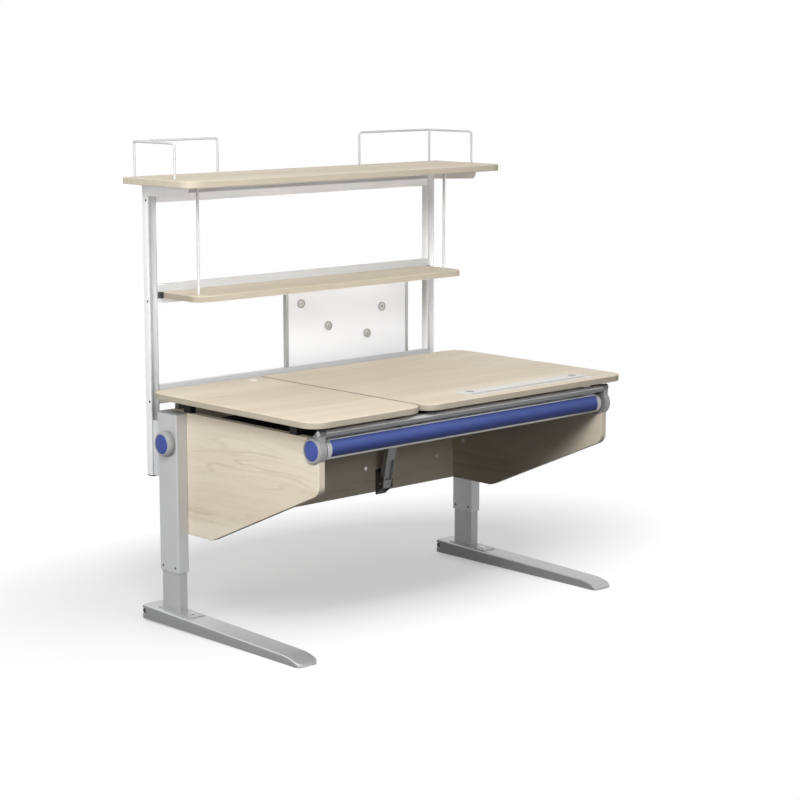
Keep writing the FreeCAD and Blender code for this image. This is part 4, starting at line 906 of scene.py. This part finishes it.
# floor: pale, keeps the shadow in an oval round the desk and goes to plain white outside it
floorLook = {"size": 30.0, "colour": (0.45, 0.45, 0.45), "bounce": 0.05, "lift": 0.36,
             "cloudNoise": (3.0, 2.0, 0.5), "cloudTone": (0.985, 1.0),
             "middle": (0.17, 0.45, 0.0), "stretch": (1.0, 1.9, 1.0), "near": 0.74, "far": 1.38}
mesh = bpy.data.meshes.new("floor")
half = floorLook["size"] / 2
corners = [(-half, -half, 0), (half, -half, 0), (half, half, 0), (-half, half, 0)]
mesh.from_pydata(corners, [], [(0, 1, 2, 3)])
floor = bpy.data.objects.new("floor", mesh)
bpy.context.scene.collection.objects.link(floor)
material, tree, shader = startMaterial("studioFloor")
link = tree.links.new
tree.nodes.remove(shader)
surface = tree.nodes["Material Output"].inputs["Surface"]
cloud = noise(tree, stretched(tree), *floorLook["cloudNoise"])
cloud = spread(tree, cloud, *floorLook["cloudTone"])
matte = put(tree, "ShaderNodeBsdfDiffuse")
link(blendColour(tree, 1.0, floorLook["colour"], cloud, "MULTIPLY"), matte.inputs["Color"])
lift = put(tree, "ShaderNodeEmission", Color=plainWhite, Strength=floorLook["lift"])
lit = put(tree, "ShaderNodeAddShader")
link(matte.outputs[0], lit.inputs[0])
link(lift.outputs[0], lit.inputs[1])
plain = put(tree, "ShaderNodeEmission", Color=plainWhite, Strength=1.0)
coords = put(tree, "ShaderNodeTexCoord")
offset = vectorSums(tree, "SUBTRACT", coords.outputs["Object"], floorLook["middle"])
oval = vectorSums(tree, "MULTIPLY", offset, floorLook["stretch"])
reach = put(tree, "ShaderNodeVectorMath", {"operation": "LENGTH"})
link(oval, reach.inputs[0])
away = spread(tree, reach.outputs["Value"], 0.0, 1.0, floorLook["near"], floorLook["far"])
seen = seenRays(tree)
shown = mixShaders(tree, sums(tree, "MULTIPLY", away, seen), lit.outputs[0], plain.outputs[0])
bounce = floorLook["bounce"]
dim = put(tree, "ShaderNodeBsdfDiffuse", Color=(bounce, bounce, bounce, 1))
link(mixShaders(tree, seen, dim.outputs[0], shown), surface)
mesh.materials.append(material)

# plain studio light: an even dim sky, white behind everything, and soft boxes
skyLook = {"low": 0.0, "top": 0.745, "topFrom": (0.2, 0.9)}
world = bpy.data.worlds.new("studioSky")
bpy.context.scene.world = world
world.use_nodes = True
tree = world.node_tree
link = tree.links.new
tree.nodes.clear()
output = put(tree, "ShaderNodeOutputWorld")
coords = put(tree, "ShaderNodeTexCoord")
rise = partsOf(tree, coords.outputs["Generated"])["Z"]
light = put(tree, "ShaderNodeBackground", Color=plainWhite)
glow = spread(tree, rise, skyLook["low"], skyLook["top"], *skyLook["topFrom"])
link(glow, light.inputs["Strength"])
white = put(tree, "ShaderNodeBackground", Color=plainWhite, Strength=1.0)
link(mixShaders(tree, seenRays(tree), light.outputs[0], white.outputs[0]), output.inputs["Surface"])

softBoxes = {
    "keyBox": {"place": (-2.3, -2.2, 2.7), "aim": (0.0, 0.0, 0.6), "size": (1.6, 1.2),
               "power": 102.0, "cone": 180},
    "sideBox": {"place": (-2.7, -0.5, 1.3), "aim": (-0.55, 0.0, 0.6), "size": (1.2, 0.8),
                "power": 26.5, "cone": 180},
    "frontBox": {"place": (0.05, -1.75, 0.98), "aim": (0.05, 0.35, 0.98), "size": (1.4, 0.3),
                 "power": 2.2, "cone": 90},
    "hutchBox": {"place": (0.1, -0.95, 0.72), "aim": (0.1, 0.35, 0.885), "size": (1.9, 0.08),
                 "power": 0.66, "cone": 21},
    "railBox": {"place": (0.1, -0.95, 0.78), "aim": (0.1, 0.35, 1.165), "size": (1.9, 0.05),
                "power": 0.24, "cone": 12},
    "backBox": {"place": (1.8, 2.8, 2.2), "aim": (0.0, 0.2, 0.7), "size": (1.6, 1.2),
                "power": 22.0, "cone": 180},
}
for name, look in softBoxes.items():
    lamp = bpy.data.lights.new(name, "AREA")
    lamp.shape = "RECTANGLE"
    lamp.size, lamp.size_y = look["size"]
    lamp.energy = look["power"]
    lamp.spread = math.radians(look["cone"])
    softBox = bpy.data.objects.new(name, lamp)
    softBox.location = look["place"]
    away = Vector(look["place"]) - Vector(look["aim"])
    softBox.rotation_euler = away.to_track_quat("Z", "Y").to_euler()
    softBox.visible_camera = False
    softBox.visible_glossy = False
    bpy.context.scene.collection.objects.link(softBox)

# camera at the photograph's angle
cameraLook = {"place": (-3.9865, -4.3233, 1.5845), "down": 9.610, "turn": -43.184, "lens": 95.63,
              "sensor": 36.0, "reach": 100.0}
cameraData = bpy.data.cameras.new("camera")
cameraData.lens = cameraLook["lens"]
cameraData.sensor_width = cameraLook["sensor"]
cameraData.clip_end = cameraLook["reach"]
camera = bpy.data.objects.new("camera", cameraData)
camera.location = cameraLook["place"]
camera.rotation_euler = (math.radians(90 - cameraLook["down"]), 0, math.radians(cameraLook["turn"]))
bpy.context.scene.collection.objects.link(camera)
bpy.context.scene.camera = camera
bpy.context.scene.view_settings.view_transform = "Standard"
print("stage, lights and camera set")
